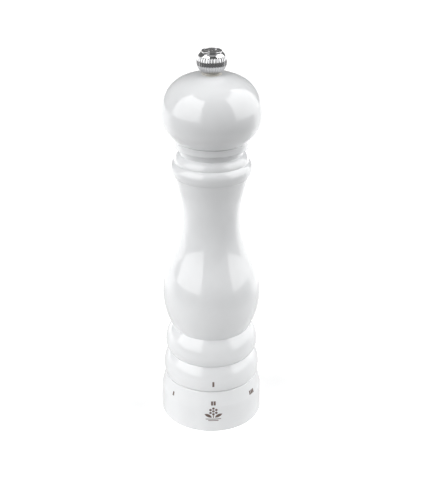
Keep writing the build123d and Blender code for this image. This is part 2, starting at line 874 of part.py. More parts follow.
plate_screw_head_radius = 1.9
with BuildPart() as drive_plate:
    with BuildSketch(Plane.XY.offset(spigot_bottom)):
        Circle(plate_radius)
        Rectangle(
            shaft_square + 2 * sliding_clearance, shaft_square + 2 * sliding_clearance, mode=Mode.SUBTRACT
        )
    extrude(amount=plate_thickness)
    with Locations(Plane.XY.offset(spigot_bottom).rotated((180, 0, 0))):
        with PolarLocations(plate_screw_circle, plate_screw_count):
            CounterSinkHole(
                plate_pilot_radius + screw_hole_clearance,
                plate_screw_head_radius + countersink_clearance,
                depth=plate_thickness,
            )
finish(drive_plate, "drive_plate")

plate_screw_length = 6.8
plate_screw = countersunk_screw(
    plate_screw_head_radius,
    plate_screw_head_radius - plate_pilot_radius + screw_hole_clearance,
    plate_pilot_radius,
    plate_screw_length,
)
with BuildPart() as drive_plate_screws:
    with Locations((0, 0, spigot_bottom + running_clearance)):
        with PolarLocations(plate_screw_circle, plate_screw_count):
            add(plate_screw)
finish(drive_plate_screws, "drive_plate_screws")

with BuildPart() as head_bush:
    with BuildSketch(Plane.XY.offset(head_top - bush_length)):
        Circle(head_bush_radius)
        Circle(thread_radius + sliding_clearance, mode=Mode.SUBTRACT)
    extrude(amount=bush_length)
finish(head_bush, "head_bush")

# ---------------------------------------------------------------- knob group
with BuildPart() as knob_washer:
    with BuildSketch(Plane.XY.offset(head_top)):
        Circle(washer_radius)
        Circle(thread_radius + sliding_clearance, mode=Mode.SUBTRACT)
    extrude(amount=washer_thickness)
finish(knob_washer, "knob_washer")

insert_overrun = 1.6
insert_length = knob_engagement + insert_overrun
cap_bottom = total_height - knob_cap_thickness
knob_rim = total_height - knob_cap_rise
with BuildPart() as knob_body:
    with BuildSketch(Plane.XZ):
        with BuildLine():
            knob_side = ThreePointArc(
                (knob_foot_radius, knob_base),
                (knob_radius, knob_base + knob_crest_height),
                (knob_rim_radius, knob_rim),
            )
            Polyline(knob_side @ 1, (0, knob_rim), (0, knob_base), knob_side @ 0)
        make_face()
    revolve(axis=Axis.Z)

# Each flute is a round groove that runs up the knob's side about the same centre as the side's arc.
side_centre = knob_side.arc_center
flute_path_radius = knob_side.radius + flute_radius - flute_depth
flute_low_angle = -52.0
flute_high_angle = 40.0
with BuildPart() as knob_flute:
    with BuildLine(Plane.XZ):
        flute_path = CenterArc(
            (side_centre.X, side_centre.Y),
            flute_path_radius,
            flute_low_angle,
            flute_high_angle - flute_low_angle,
        )
    with BuildSketch(Plane(origin=flute_path @ 0, z_dir=flute_path % 0)):
        Circle(flute_radius)
    sweep(path=flute_path)

with BuildPart() as knob_shell:
    add(knob_body.part)
    with PolarLocations(0, knob_flutes):
        add(knob_flute.part, mode=Mode.SUBTRACT)
    with BuildSketch(Plane.XY.offset(knob_base)):
        Circle(insert_radius)
    extrude(amount=insert_length, mode=Mode.SUBTRACT)
    with BuildSketch(Plane.XY.offset(knob_rim)):
        Circle(knob_cap_radius)
    extrude(amount=-(knob_cap_thickness - knob_cap_rise), mode=Mode.SUBTRACT)
finish(knob_shell, "knob_shell")

with BuildPart() as knob_insert:
    with BuildSketch(Plane.XY.offset(knob_base)):
        Circle(insert_radius)
        Circle(thread_radius + running_clearance, mode=Mode.SUBTRACT)
    extrude(amount=insert_length)
finish(knob_insert, "knob_insert")

# The cap's relief is a plain rosette of round petals about a boss.
petal_count = 8
petal_circle = 2.8
petal_size = (1.6, 0.75)
boss_radius = 0.9
cap_border = 0.7
cap_chamfer = 0.25
relief_height = 0.35
with BuildPart() as knob_cap:
    with BuildSketch(Plane.XY.offset(cap_bottom)):
        Circle(knob_cap_radius)
    extrude(amount=knob_cap_thickness)
    chamfer(edges().group_by(Axis.Z)[-1], cap_chamfer)
    with BuildSketch(Plane.XY.offset(total_height)):
        Circle(knob_cap_radius - cap_border)
        Circle(boss_radius, mode=Mode.SUBTRACT)
        with PolarLocations(petal_circle, petal_count):
            Ellipse(*petal_size, mode=Mode.SUBTRACT)
    extrude(amount=-relief_height, mode=Mode.SUBTRACT)
finish(knob_cap, "knob_cap")
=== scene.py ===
"""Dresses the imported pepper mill: turned lacquered shells, a fluted knob, print and the mechanism's finishes.

Lengths inside the classes are millimetres, as on a turner's drawing; meshes are made in metres, in the
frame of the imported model, and every level is taken from the box of the node that it belongs to.
"""

import json
import logging
import math
from dataclasses import dataclass, field
from enum import Enum

import bmesh
import bpy
import numpy as np
from mathutils import Matrix, Vector


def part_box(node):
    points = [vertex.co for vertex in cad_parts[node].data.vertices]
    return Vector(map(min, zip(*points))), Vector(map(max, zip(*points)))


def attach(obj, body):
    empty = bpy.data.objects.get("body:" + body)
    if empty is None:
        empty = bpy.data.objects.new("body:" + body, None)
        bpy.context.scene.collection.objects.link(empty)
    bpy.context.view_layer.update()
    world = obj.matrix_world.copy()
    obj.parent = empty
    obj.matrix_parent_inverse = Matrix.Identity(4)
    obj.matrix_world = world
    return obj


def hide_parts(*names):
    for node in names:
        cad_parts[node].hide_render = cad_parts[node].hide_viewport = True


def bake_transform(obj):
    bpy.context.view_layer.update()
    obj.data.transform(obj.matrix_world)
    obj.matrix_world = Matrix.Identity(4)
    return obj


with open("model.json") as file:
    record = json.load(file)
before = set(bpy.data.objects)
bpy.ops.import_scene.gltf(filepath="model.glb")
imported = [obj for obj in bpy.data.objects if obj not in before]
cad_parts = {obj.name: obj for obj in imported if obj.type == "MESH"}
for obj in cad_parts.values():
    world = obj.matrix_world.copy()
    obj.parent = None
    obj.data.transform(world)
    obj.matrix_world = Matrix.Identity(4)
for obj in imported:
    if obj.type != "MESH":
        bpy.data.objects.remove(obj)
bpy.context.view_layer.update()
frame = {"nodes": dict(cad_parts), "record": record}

MM = 0.001
ON_AXIS = 1e-6
SHARP_ANGLE = math.radians(38)
log = logging.getLogger("pepper_mill")

Point = tuple[float, float]


# ------------------------------------------------------------------ node tree helpers
class Tree:
    """Short ways of adding and linking nodes in one node tree."""

    def __init__(self, tree: bpy.types.NodeTree) -> None:
        """Keeps the tree that the nodes go in."""
        self.tree = tree

    def add(self, kind: str, inputs: dict | None = None, **settings: object) -> bpy.types.Node:
        """Adds a node.

        Args:
            kind: The node's bl_idname.
            inputs: Values or output sockets for its inputs, by name or number.
            settings: Properties set on the node before its inputs.

        Returns:
            The new node.
        """
        node = self.tree.nodes.new(kind)
        for name, value in settings.items():
            setattr(node, name, value)
        for key, value in (inputs or {}).items():
            if isinstance(value, bpy.types.NodeSocket):
                self.tree.links.new(value, node.inputs[key])
            else:
                node.inputs[key].default_value = value
        return node

    def math(self, operation: str, *values: object) -> bpy.types.NodeSocket:
        """Adds a math node for numbers or sockets and returns its output."""
        return self.add("ShaderNodeMath", dict(enumerate(values)), operation=operation).outputs[0]

    def ramp(self, value: object, low: object, high: object) -> bpy.types.NodeSocket:
        """A smooth step from 0 at low to 1 at high."""
        node = self.add("ShaderNodeMapRange", {0: value, 1: low, 2: high}, interpolation_type="SMOOTHSTEP")
        return node.outputs[0]

    def mix(self, share: object, first: object, second: object) -> bpy.types.NodeSocket:
        """A colour that goes from first to second with share."""
        node = self.add("ShaderNodeMix", data_type="RGBA")
        for key, value in ((0, share), (6, first), (7, second)):
            if isinstance(value, bpy.types.NodeSocket):
                self.tree.links.new(value, node.inputs[key])
            else:
                node.inputs[key].default_value = value
        return node.outputs[2]

    def between(self, share: object, first: object, second: object) -> bpy.types.NodeSocket:
        """A number that goes from first to second with share."""
        node = self.add("ShaderNodeMix", {0: share, 2: first, 3: second}, data_type="FLOAT")
        return node.outputs[0]


def new_group(
    name: str, kind: str, inputs: dict, outputs: dict
) -> tuple[Tree, bpy.types.Node, bpy.types.Node]:
    """Makes a node group with named sockets.

    Args:
        name: The group's name.
        kind: ShaderNodeTree or GeometryNodeTree.
        inputs: Socket type and default value (or None) of each input, by name.
        outputs: Socket type of each output, by name.

    Returns:
        The tree helper, the group's input node and its output node.
    """
    group = bpy.data.node_groups.new(name, kind)
    for title, (socket_type, default) in inputs.items():
        socket = group.interface.new_socket(name=title, in_out="INPUT", socket_type=socket_type)
        if default is not None:
            socket.default_value = default
    for title, socket_type in outputs.items():
        group.interface.new_socket(name=title, in_out="OUTPUT", socket_type=socket_type)
    tree = Tree(group)
    return tree, tree.add("NodeGroupInput"), tree.add("NodeGroupOutput")


FLOAT, COLOR, VECTOR = "NodeSocketFloat", "NodeSocketColor", "NodeSocketVector"


class SurfaceGroups:
    """The shader node groups that more than one finish uses, each built once."""

    def __init__(self) -> None:
        """Builds every group."""
        self.ripple = self._ripple()
        self.handling = self._handling()
        self.beech = self._beech()
        self.drawn_lines = self._drawn_lines()
        self.worn_edges = self._worn_edges()

    @staticmethod
    def _ripple() -> bpy.types.NodeTree:
        """Fine unevenness of a sprayed or moulded skin, as a height."""
        tree, given, made = new_group(
            "skin_ripple",
            "ShaderNodeTree",
            {"Grain Size": (FLOAT, 0.0012), "Fineness": (FLOAT, 0.5)},
            {"Height": FLOAT},
        )
        place = tree.add("ShaderNodeTexCoord").outputs["Object"]
        scale = tree.math("DIVIDE", 1.0, given.outputs["Grain Size"])
        coarse = tree.add("ShaderNodeTexNoise", {"Vector": place, "Scale": scale, "Detail": 2.0})
        finer = tree.math("MULTIPLY", scale, 3.7)
        fine = tree.add("ShaderNodeTexNoise", {"Vector": place, "Scale": finer, "Detail": 1.0})
        height = tree.between(given.outputs["Fineness"], coarse.outputs[0], fine.outputs[0])
        tree.tree.links.new(height, made.inputs["Height"])
        return tree.tree

    @staticmethod
    def _handling() -> bpy.types.NodeTree:
        """Soft patches where a surface has been touched and wiped, as a mask."""
        tree, given, made = new_group(
            "handling_marks",
            "ShaderNodeTree",
            {"Patch Size": (FLOAT, 0.02)},
            {"Patches": FLOAT},
        )
        place = tree.add("ShaderNodeTexCoord").outputs["Object"]
        patch_scale = tree.math("DIVIDE", 1.0, given.outputs["Patch Size"])
        noise = tree.add(
            "ShaderNodeTexNoise", {"Vector": place, "Scale": patch_scale, "Detail": 4.0, "Distortion": 0.6}
        )
        patches = tree.ramp(noise.outputs[0], 0.42, 0.68)
        tree.tree.links.new(patches, made.inputs["Patches"])
        return tree.tree

    @staticmethod
    def _beech() -> bpy.types.NodeTree:
        """Bare turned beech: long fibres up the axis with short dark flecks, as a colour and a height."""
        tree, given, made = new_group(
            "beech_grain",
            "ShaderNodeTree",
            {"Pale": (COLOR, (0.72, 0.53, 0.34, 1)), "Dark": (COLOR, (0.50, 0.32, 0.18, 1))},
            {"Color": COLOR, "Height": FLOAT},
        )
        place = tree.add("ShaderNodeTexCoord").outputs["Object"]
        along = tree.add("ShaderNodeMapping", {"Vector": place, "Scale": (420.0, 420.0, 16.0)})
        fibres = tree.add("ShaderNodeTexNoise", {"Vector": along.outputs[0], "Scale": 1.0, "Detail": 6.0})
        short = tree.add("ShaderNodeMapping", {"Vector": place, "Scale": (1500.0, 1500.0, 180.0)})
        flecks = tree.add("ShaderNodeTexVoronoi", {"Vector": short.outputs[0], "Scale": 1.0})
        fleck_mask = tree.ramp(flecks.outputs["Distance"], 0.32, 0.14)
        shade = tree.math("MULTIPLY_ADD", fleck_mask, 0.35, tree.ramp(fibres.outputs[0], 0.3, 0.75))
        colour = tree.mix(shade, given.outputs["Pale"], given.outputs["Dark"])
        tree.tree.links.new(colour, made.inputs["Color"])
        tree.tree.links.new(fibres.outputs[0], made.inputs["Height"])
        return tree.tree

    @staticmethod
    def _drawn_lines() -> bpy.types.NodeTree:
        """Turning or drawing lines, stretched across one direction, as a mask."""
        tree, given, made = new_group(
            "tool_lines",
            "ShaderNodeTree",
            {"Line Scale": (VECTOR, (90.0, 90.0, 5200.0))},
            {"Lines": FLOAT},
        )
        place = tree.add("ShaderNodeTexCoord").outputs["Object"]
        stretched = tree.add(
            "ShaderNodeVectorMath", {0: place, 1: given.outputs["Line Scale"]}, operation="MULTIPLY"
        )
        noise = tree.add("ShaderNodeTexNoise", {"Vector": stretched.outputs[0], "Scale": 1.0, "Detail": 5.0})
        tree.tree.links.new(noise.outputs[0], made.inputs["Lines"])
        return tree.tree

    @staticmethod
    def _worn_edges() -> bpy.types.NodeTree:
        """Where a sharp edge has been rubbed, broken up by noise, as a mask."""
        tree, given, made = new_group(
            "worn_edges",
            "ShaderNodeTree",
            {"Sharpness": (FLOAT, 0.54), "Amount": (FLOAT, 0.5)},
            {"Wear": FLOAT},
        )
        place = tree.add("ShaderNodeTexCoord").outputs["Object"]
        edge = tree.add("ShaderNodeNewGeometry").outputs["Pointiness"]
        high = tree.math("ADD", given.outputs["Sharpness"], 0.06)
        mask = tree.ramp(edge, given.outputs["Sharpness"], high)
        patchy = tree.add("ShaderNodeTexNoise", {"Vector": place, "Scale": 700.0, "Detail": 3.0})
        broken = tree.ramp(patchy.outputs[0], 0.4, 0.6)
        wear = tree.math("MULTIPLY", tree.math("MULTIPLY", mask, broken), given.outputs["Amount"])
        tree.tree.links.new(wear, made.inputs["Wear"])
        return tree.tree


GROUPS = SurfaceGroups()


class Surface(Tree):
    """One material's node tree with its Principled shader."""

    def __init__(self, name: str) -> None:
        """Makes an empty material with one Principled shader."""
        self.material = bpy.data.materials.new(name)
        self.material.use_nodes = True
        super().__init__(self.material.node_tree)
        self.shader = self.tree.nodes["Principled BSDF"]

    def set(self, **values: object) -> None:
        """Sets shader inputs, with underscores standing for the spaces in their names."""
        for name, value in values.items():
            socket = self.shader.inputs[name.replace("_", " ")]
            if isinstance(value, bpy.types.NodeSocket):
                self.tree.links.new(value, socket)
            else:
                socket.default_value = value

    def group(self, tree: bpy.types.NodeTree, **values: object) -> bpy.types.Node:
        """Places a shared node group and sets its inputs, with underscores for spaces."""
        inputs = {name.replace("_", " "): value for name, value in values.items()}
        return self.add("ShaderNodeGroup", inputs, node_tree=tree)

    def bump(self, height: object, distance: float) -> bpy.types.NodeSocket:
        """Turns a height into a normal, with distance in metres."""
        node = self.add("ShaderNodeBump", {"Height": height, "Distance": distance, "Strength": 1.0})
        return node.outputs[0]


# ------------------------------------------------------------------ finishes
class Polish(Enum):
    """How a metal part was left, as its base roughness and the strength of its tool lines."""

    MIRROR = (0.035, 0.03)
    DRAWN = (0.24, 0.5)
    HARDENED = (0.38, 0.7)
    WIRE = (0.2, 0.25)


class LineRun(Enum):
    """Which way a metal part's tool lines run."""

    ROUND = (90.0, 90.0, 5200.0)
    ALONG = (4200.0, 4200.0, 60.0)


@dataclass(frozen=True)
class WhiteLacquer:
    """Gloss white lacquer over turned beech, bare where the coated attribute is 0."""

    name: str = "white_lacquer"
    coat: tuple = (0.815, 0.825, 0.835, 1.0)
    coat_shadow: tuple = (0.79, 0.80, 0.81, 1.0)
    gloss: float = 0.015
    dull: float = 0.04
    bare_roughness: float = 0.62

    def build(self) -> bpy.types.Material:
        """Returns the material."""
        s = Surface(self.name)
        coated = s.add("ShaderNodeAttribute", attribute_name="coated").outputs["Fac"]
        wood = s.group(GROUPS.beech)
        marks = s.group(GROUPS.handling, Patch_Size=0.024)
        ripple = s.group(GROUPS.ripple, Grain_Size=0.0034, Fineness=0.12)
        white = s.mix(marks.outputs["Patches"], self.coat, self.coat_shadow)
        s.set(Base_Color=s.mix(coated, wood.outputs["Color"], white))
        rubbed = s.math("MULTIPLY_ADD", marks.outputs["Patches"], self.dull - self.gloss, self.gloss)
        s.set(Roughness=s.between(coated, self.bare_roughness, rubbed))
        s.set(Coat_Weight=s.math("MULTIPLY", coated, 0.5), Coat_Roughness=0.012, IOR=1.5)
        grain = s.math("MULTIPLY", s.math("SUBTRACT", 1.0, coated), wood.outputs["Height"])
        skin = s.math("MULTIPLY_ADD", ripple.outputs["Height"], 0.04, grain)
        s.set(Normal=s.bump(skin, 0.00008))
        return s.material


@dataclass(frozen=True)
class PrintInk:
    """Flat screen-printed ink with a slightly uneven lay-down."""

    name: str = "print_ink"
    dense: tuple = (0.130, 0.088, 0.074, 1.0)
    thin: tuple = (0.185, 0.130, 0.112, 1.0)

    def build(self) -> bpy.types.Material:
        """Returns the material."""
        s = Surface(self.name)
        marks = s.group(GROUPS.handling, Patch_Size=0.0011)
        ripple = s.group(GROUPS.ripple, Grain_Size=0.00035, Fineness=0.5)
        s.set(Base_Color=s.mix(marks.outputs["Patches"], self.dense, self.thin), Roughness=0.42)
        s.set(Normal=s.bump(ripple.outputs["Height"], 0.00001))
        return s.material


@dataclass(frozen=True)
class Metal:
    """A metal with tool lines, handling marks and rubbed edges."""

    name: str
    colour: tuple
    worn: tuple
    polish: Polish
    run: LineRun = LineRun.ROUND

    def build(self) -> bpy.types.Material:
        """Returns the material."""
        s = Surface(self.name)
        roughness, line_strength = self.polish.value
        lines = s.group(GROUPS.drawn_lines, Line_Scale=self.run.value)
        marks = s.group(GROUPS.handling, Patch_Size=0.006)
        wear = s.group(GROUPS.worn_edges, Sharpness=0.53, Amount=0.7)
        s.set(Base_Color=s.mix(wear.outputs["Wear"], self.colour, self.worn), Metallic=1.0)
        lined = s.math("MULTIPLY_ADD", lines.outputs["Lines"], 0.22 * line_strength, roughness)
        touched = s.math("MULTIPLY_ADD", marks.outputs["Patches"], 0.04, lined)
        s.set(Roughness=touched)
        s.set(Normal=s.bump(lines.outputs["Lines"], 0.00001 * line_strength))
        return s.material


@dataclass(frozen=True)
class MouldedPlastic:
    """Injection-moulded plastic with a fine spark texture and paler rubbed edges."""

    name: str
    colour: tuple
    rubbed: tuple
    roughness: float
    see_in: float = 0.0

    def build(self) -> bpy.types.Material:
        """Returns the material."""
        s = Surface(self.name)
        ripple = s.group(GROUPS.ripple, Grain_Size=0.0004, Fineness=0.45)
        marks = s.group(GROUPS.handling, Patch_Size=0.009)
        wear = s.group(GROUPS.worn_edges, Sharpness=0.53, Amount=0.5)
        s.set(Base_Color=s.mix(wear.outputs["Wear"], self.colour, self.rubbed))
        s.set(Roughness=s.math("MULTIPLY_ADD", marks.outputs["Patches"], 0.12, self.roughness))
        s.set(Normal=s.bump(ripple.outputs["Height"], 0.00002))
        s.set(Subsurface_Weight=self.see_in, Subsurface_Radius=(0.001, 0.0009, 0.0007))
        return s.material


FINISHES = {
    "white_lacquer": WhiteLacquer(),
    "ink": PrintInk(),
    "chrome": Metal("bright_chrome", (0.62, 0.62, 0.63, 1), (0.70, 0.70, 0.70, 1), Polish.MIRROR),
    "black_plastic": MouldedPlastic(
        "black_moulding", (0.022, 0.022, 0.024, 1), (0.06, 0.06, 0.062, 1), 0.36
    ),
    "pale_plastic": MouldedPlastic(
        "natural_bush", (0.78, 0.76, 0.70, 1), (0.84, 0.82, 0.78, 1), 0.4, see_in=0.15
    ),
    "grinding_steel": Metal(
        "hardened_steel", (0.30, 0.295, 0.29, 1), (0.55, 0.55, 0.55, 1), Polish.HARDENED
    ),
    "bright_steel": Metal(
        "drawn_steel", (0.60, 0.60, 0.61, 1), (0.72, 0.72, 0.72, 1), Polish.DRAWN, LineRun.ALONG
    ),
    "spring_steel": Metal("spring_wire", (0.48, 0.48, 0.50, 1), (0.6, 0.6, 0.6, 1), Polish.WIRE),
    "brass": Metal("turned_brass", (0.72, 0.53, 0.23, 1), (0.85, 0.68, 0.38, 1), Polish.DRAWN),
}


class Paintbox:
    """Builds each finish the first time that a piece asks for it."""

    def __init__(self) -> None:
        """Starts with no material made."""
        self.made: dict[str, bpy.types.Material] = {}

    def material(self, slot: str) -> bpy.types.Material:
        """Returns the material for one of the record's slots."""
        if slot not in self.made:
            self.made[slot] = FINISHES[slot].build()
        return self.made[slot]


PAINT = Paintbox()


# ------------------------------------------------------------------ outlines and turned meshes
class Outline:
    """A turned piece's outline, drawn from point to point, with marks for its coat and its corners."""

    ARC_STEPS = 22
    CORNER_STEPS = 5

    def __init__(self, radius: float, height: float, mark: float = 1.0) -> None:
        """Starts the outline at a point.

        Args:
            radius: The start's distance from the axis.
            height: The start's height.
            mark: The value that the points after it carry, 1 for coated or worked and 0 for not.
        """
        self.points: list[Point] = [(radius, height)]
        self.mark = mark
        self.marks = [mark]
        self.corners: dict[int, float] = {}

    def _put(self, radius: float, height: float) -> None:
        """Adds one point with the current mark."""
        self.points.append((float(radius), float(height)))
        self.marks.append(self.mark)

    def marked(self, value: float) -> "Outline":
        """Gives the points that follow another mark."""
        self.mark = value
        return self

    def corner(self, radius: float) -> "Outline":
        """Rounds the last point off by about a radius."""
        self.corners[len(self.points) - 1] = radius
        return self

    def line(self, radius: float, height: float, corner: float = 0.0, steps: int = 1) -> "Outline":
        """Draws a straight run to a point, in steps, and rounds its end off."""
        start = self.points[-1]
        for i in range(1, steps + 1):
            t = i / steps
            self._put(start[0] + (radius - start[0]) * t, start[1] + (height - start[1]) * t)
        if corner:
            self.corner(corner)
        return self

    def arc(self, middle: Point, end: Point, steps: int = ARC_STEPS) -> "Outline":
        """Draws a round arc through a middle point to an end."""
        a, b, c = (complex(*p) for p in (self.points[-1], middle, end))
        w = (c - a) / (b - a)
        centre = a + (b - a) * (w - abs(w) ** 2) / (w - w.conjugate())
        radius = abs(a - centre)
        start = math.atan2((a - centre).imag, (a - centre).real)
        turn = math.atan2(((c - centre) / (a - centre)).imag, ((c - centre) / (a - centre)).real)
        half = math.atan2(((b - centre) / (a - centre)).imag, ((b - centre) / (a - centre)).real)
        if turn * half < 0:
            turn += math.copysign(2 * math.pi, half)
        for i in range(1, steps + 1):
            angle = start + turn * i / steps
            self._put(centre.real + radius * math.cos(angle), centre.imag + radius * math.sin(angle))
        return self

    def crest(self, crest: Point, end: Point, steps: int = ARC_STEPS) -> "Outline":
        """Draws up to an upright crest and away from it, each side one round arc."""
        low = self.points[-1]
        self.quarter(crest, low, steps, towards_crest=True)
        self.quarter(crest, end, steps, towards_crest=False)
        return self

    def quarter(self, crest: Point, far: Point, steps: int, towards_crest: bool) -> None:
        """Draws the arc that stands upright at a crest and reaches a far point."""
        across, along = crest[0] - far[0], far[1] - crest[1]
        radius = (across**2 + along**2) / (2 * across)
        centre = crest[0] - radius
        sweep = math.asin(max(-1.0, min(1.0, along / radius)))
        if abs(radius) < abs(across) or (radius - across) * radius < 0:
            sweep = math.copysign(math.pi, along) - sweep
        for i in range(1, steps + 1):
            t = 1 - i / steps if towards_crest else i / steps
            self._put(centre + radius * math.cos(sweep * t), crest[1] + radius * math.sin(sweep * t))

    def curve(self, points: list[Point], start: Point, end: Point, steps: int = 14) -> "Outline":
        """Draws a smooth curve through points, leaving and arriving along two directions."""
        knots = np.array([self.points[-1], *points], float)
        gaps = np.linalg.norm(np.diff(knots, axis=0), axis=1)
        count = len(knots)
        rows = np.zeros((count, count))
        sides = np.zeros((count, 2))
        rows[0, 0] = rows[-1, -1] = 1.0
        sides[0] = np.array(start) / np.linalg.norm(start)
        sides[-1] = np.array(end) / np.linalg.norm(end)
        for i in range(1, count - 1):
            before, after = gaps[i - 1], gaps[i]
            rows[i, i - 1], rows[i, i], rows[i, i + 1] = after, 2 * (before + after), before
            rise_before = (knots[i] - knots[i - 1]) / before
            rise_after = (knots[i + 1] - knots[i]) / after
            sides[i] = 3 * (after * rise_before + before * rise_after)
        slopes = np.linalg.solve(rows, sides)
        for i, gap in enumerate(gaps):
            for j in range(1, steps + 1):
                t = j / steps
                ends = (2 * t**3 - 3 * t**2 + 1) * knots[i] + (3 * t**2 - 2 * t**3) * knots[i + 1]
                leans = (t**3 - 2 * t**2 + t) * slopes[i] + (t**3 - t**2) * slopes[i + 1]
                self._put(*(ends + gap * leans))
        return self

    def rounded(self) -> tuple[list[Point], list[float]]:
        """Returns the points and their marks, with the marked corners rounded off."""
        points, marks = [], []
        count = len(self.points)
        trimmed: dict[int, tuple[np.ndarray, np.ndarray]] = {}
        dropped: set[int] = set()
        for i, radius in self.corners.items():
            ends = []
            for direction in (-1, 1):
                here, left, j = np.array(self.points[i]), radius, i
                while True:
                    j = (j + direction) % count
                    there = np.array(self.points[j])
                    reach = float(np.linalg.norm(there - here))
                    if reach >= left or j in self.corners:
                        ends.append(here + (there - here) * min(1.0, left / max(reach, 1e-9)))
                        break
                    left -= reach
                    here = there
                    dropped.add(j)
            trimmed[i] = (ends[0], ends[1])
        for i, point in enumerate(self.points):
            if i in trimmed:
                first, last = trimmed[i]
                peak = np.array(point)
                for k in range(self.CORNER_STEPS + 1):
                    t = k / self.CORNER_STEPS
                    bend = (1 - t) ** 2 * first + 2 * t * (1 - t) * peak + t**2 * last
                    points.append((float(bend[0]), float(bend[1])))
                    marks.append(self.marks[i])
            elif i not in dropped:
                points.append(point)
                marks.append(self.marks[i])
        return points, marks


def object_from(bm: bmesh.types.BMesh, name: str, slot: str) -> bpy.types.Object:
    """Makes an object of a bmesh, with its faces outward, smooth, and in one finish."""
    bmesh.ops.recalc_face_normals(bm, faces=bm.faces)
    mesh = bpy.data.meshes.new(name)
    bm.to_mesh(mesh)
    bm.free()
    mesh.materials.append(PAINT.material(slot))
    mesh.set_sharp_from_angle(angle=SHARP_ANGLE)
    piece = bpy.data.objects.new(name, mesh)
    bpy.context.scene.collection.objects.link(piece)
    return piece


def turned(
    name: str, outline: Outline, slot: str, segments: int = 256, mark_name: str = "coated", flat: float = 0.0
) -> bpy.types.Object:
    """Turns a closed outline about the mill's axis.

    Args:
        name: The piece's name.
        outline: The outline, in millimetres. It closes on itself, or between two points on the axis.
        slot: The record's material slot.
        segments: Faces round the axis.
        mark_name: The attribute that holds the outline's marks.
        flat: Half the width of a square that the section is cut to, or 0 for a round one.

    Returns:
        The piece, with its place in its mesh.
    """
    points, marks = outline.rounded()
    bm = bmesh.new()
    layer = bm.verts.layers.float.new(mark_name)
    rings = []
    for (radius, height), mark in zip(points, marks):
        ring = []
        if radius < ON_AXIS:
            vertex = bm.verts.new((0, 0, height * MM))
            vertex[layer] = mark
            rings.append([vertex] * segments)
            continue
        for i in range(segments):
            angle = 2 * math.pi * i / segments
            across, along = math.cos(angle), math.sin(angle)
            reach = min(radius, flat / max(abs(across), abs(along))) if flat else radius
            vertex = bm.verts.new((reach * across * MM, reach * along * MM, height * MM))
            vertex[layer] = mark
            ring.append(vertex)
        rings.append(ring)
    on_axis = points[0][0] < ON_AXIS and points[-1][0] < ON_AXIS
    for i in range(len(rings) - (1 if on_axis else 0)):
        low, high = rings[i], rings[(i + 1) % len(rings)]
        for j in range(segments):
            k = (j + 1) % segments
            corners = []
            for vertex in (low[j], low[k], high[k], high[j]):
                if vertex not in corners:
                    corners.append(vertex)
            if len(corners) > 2:
                bm.faces.new(corners)
    return object_from(bm, name, slot)


def baked(piece: bpy.types.Object) -> bpy.types.Object:
    """Returns a plain object of a piece's evaluated mesh, in its place and under its name."""
    bpy.context.view_layer.update()
    depsgraph = bpy.context.evaluated_depsgraph_get()
    mesh = bpy.data.meshes.new_from_object(
        piece.evaluated_get(depsgraph), preserve_all_data_layers=True, depsgraph=depsgraph
    )
    name = piece.name
    bpy.data.objects.remove(piece)
    mesh.name = name
    made = bpy.data.objects.new(name, mesh)
    bpy.context.scene.collection.objects.link(made)
    return made


def shaped_by(piece: bpy.types.Object, tree: bpy.types.NodeTree, **values: object) -> bpy.types.Object:
    """Runs a geometry tree on a piece and returns the plain result.

    Args:
        piece: The object that the tree works on.
        tree: The geometry node tree.
        values: The tree's inputs by name, with underscores for spaces.

    Returns:
        The new plain object.
    """
    modifier = piece.modifiers.new("shape", "NODES")
    modifier.node_group = tree
    for socket in tree.interface.items_tree:
        title = socket.name.replace(" ", "_")
        if socket.in_out == "INPUT" and title in values:
            modifier[socket.identifier] = values[title]
    return baked(piece)


GEOMETRY, INTEGER, MATERIAL = "NodeSocketGeometry", "NodeSocketInt", "NodeSocketMaterial"


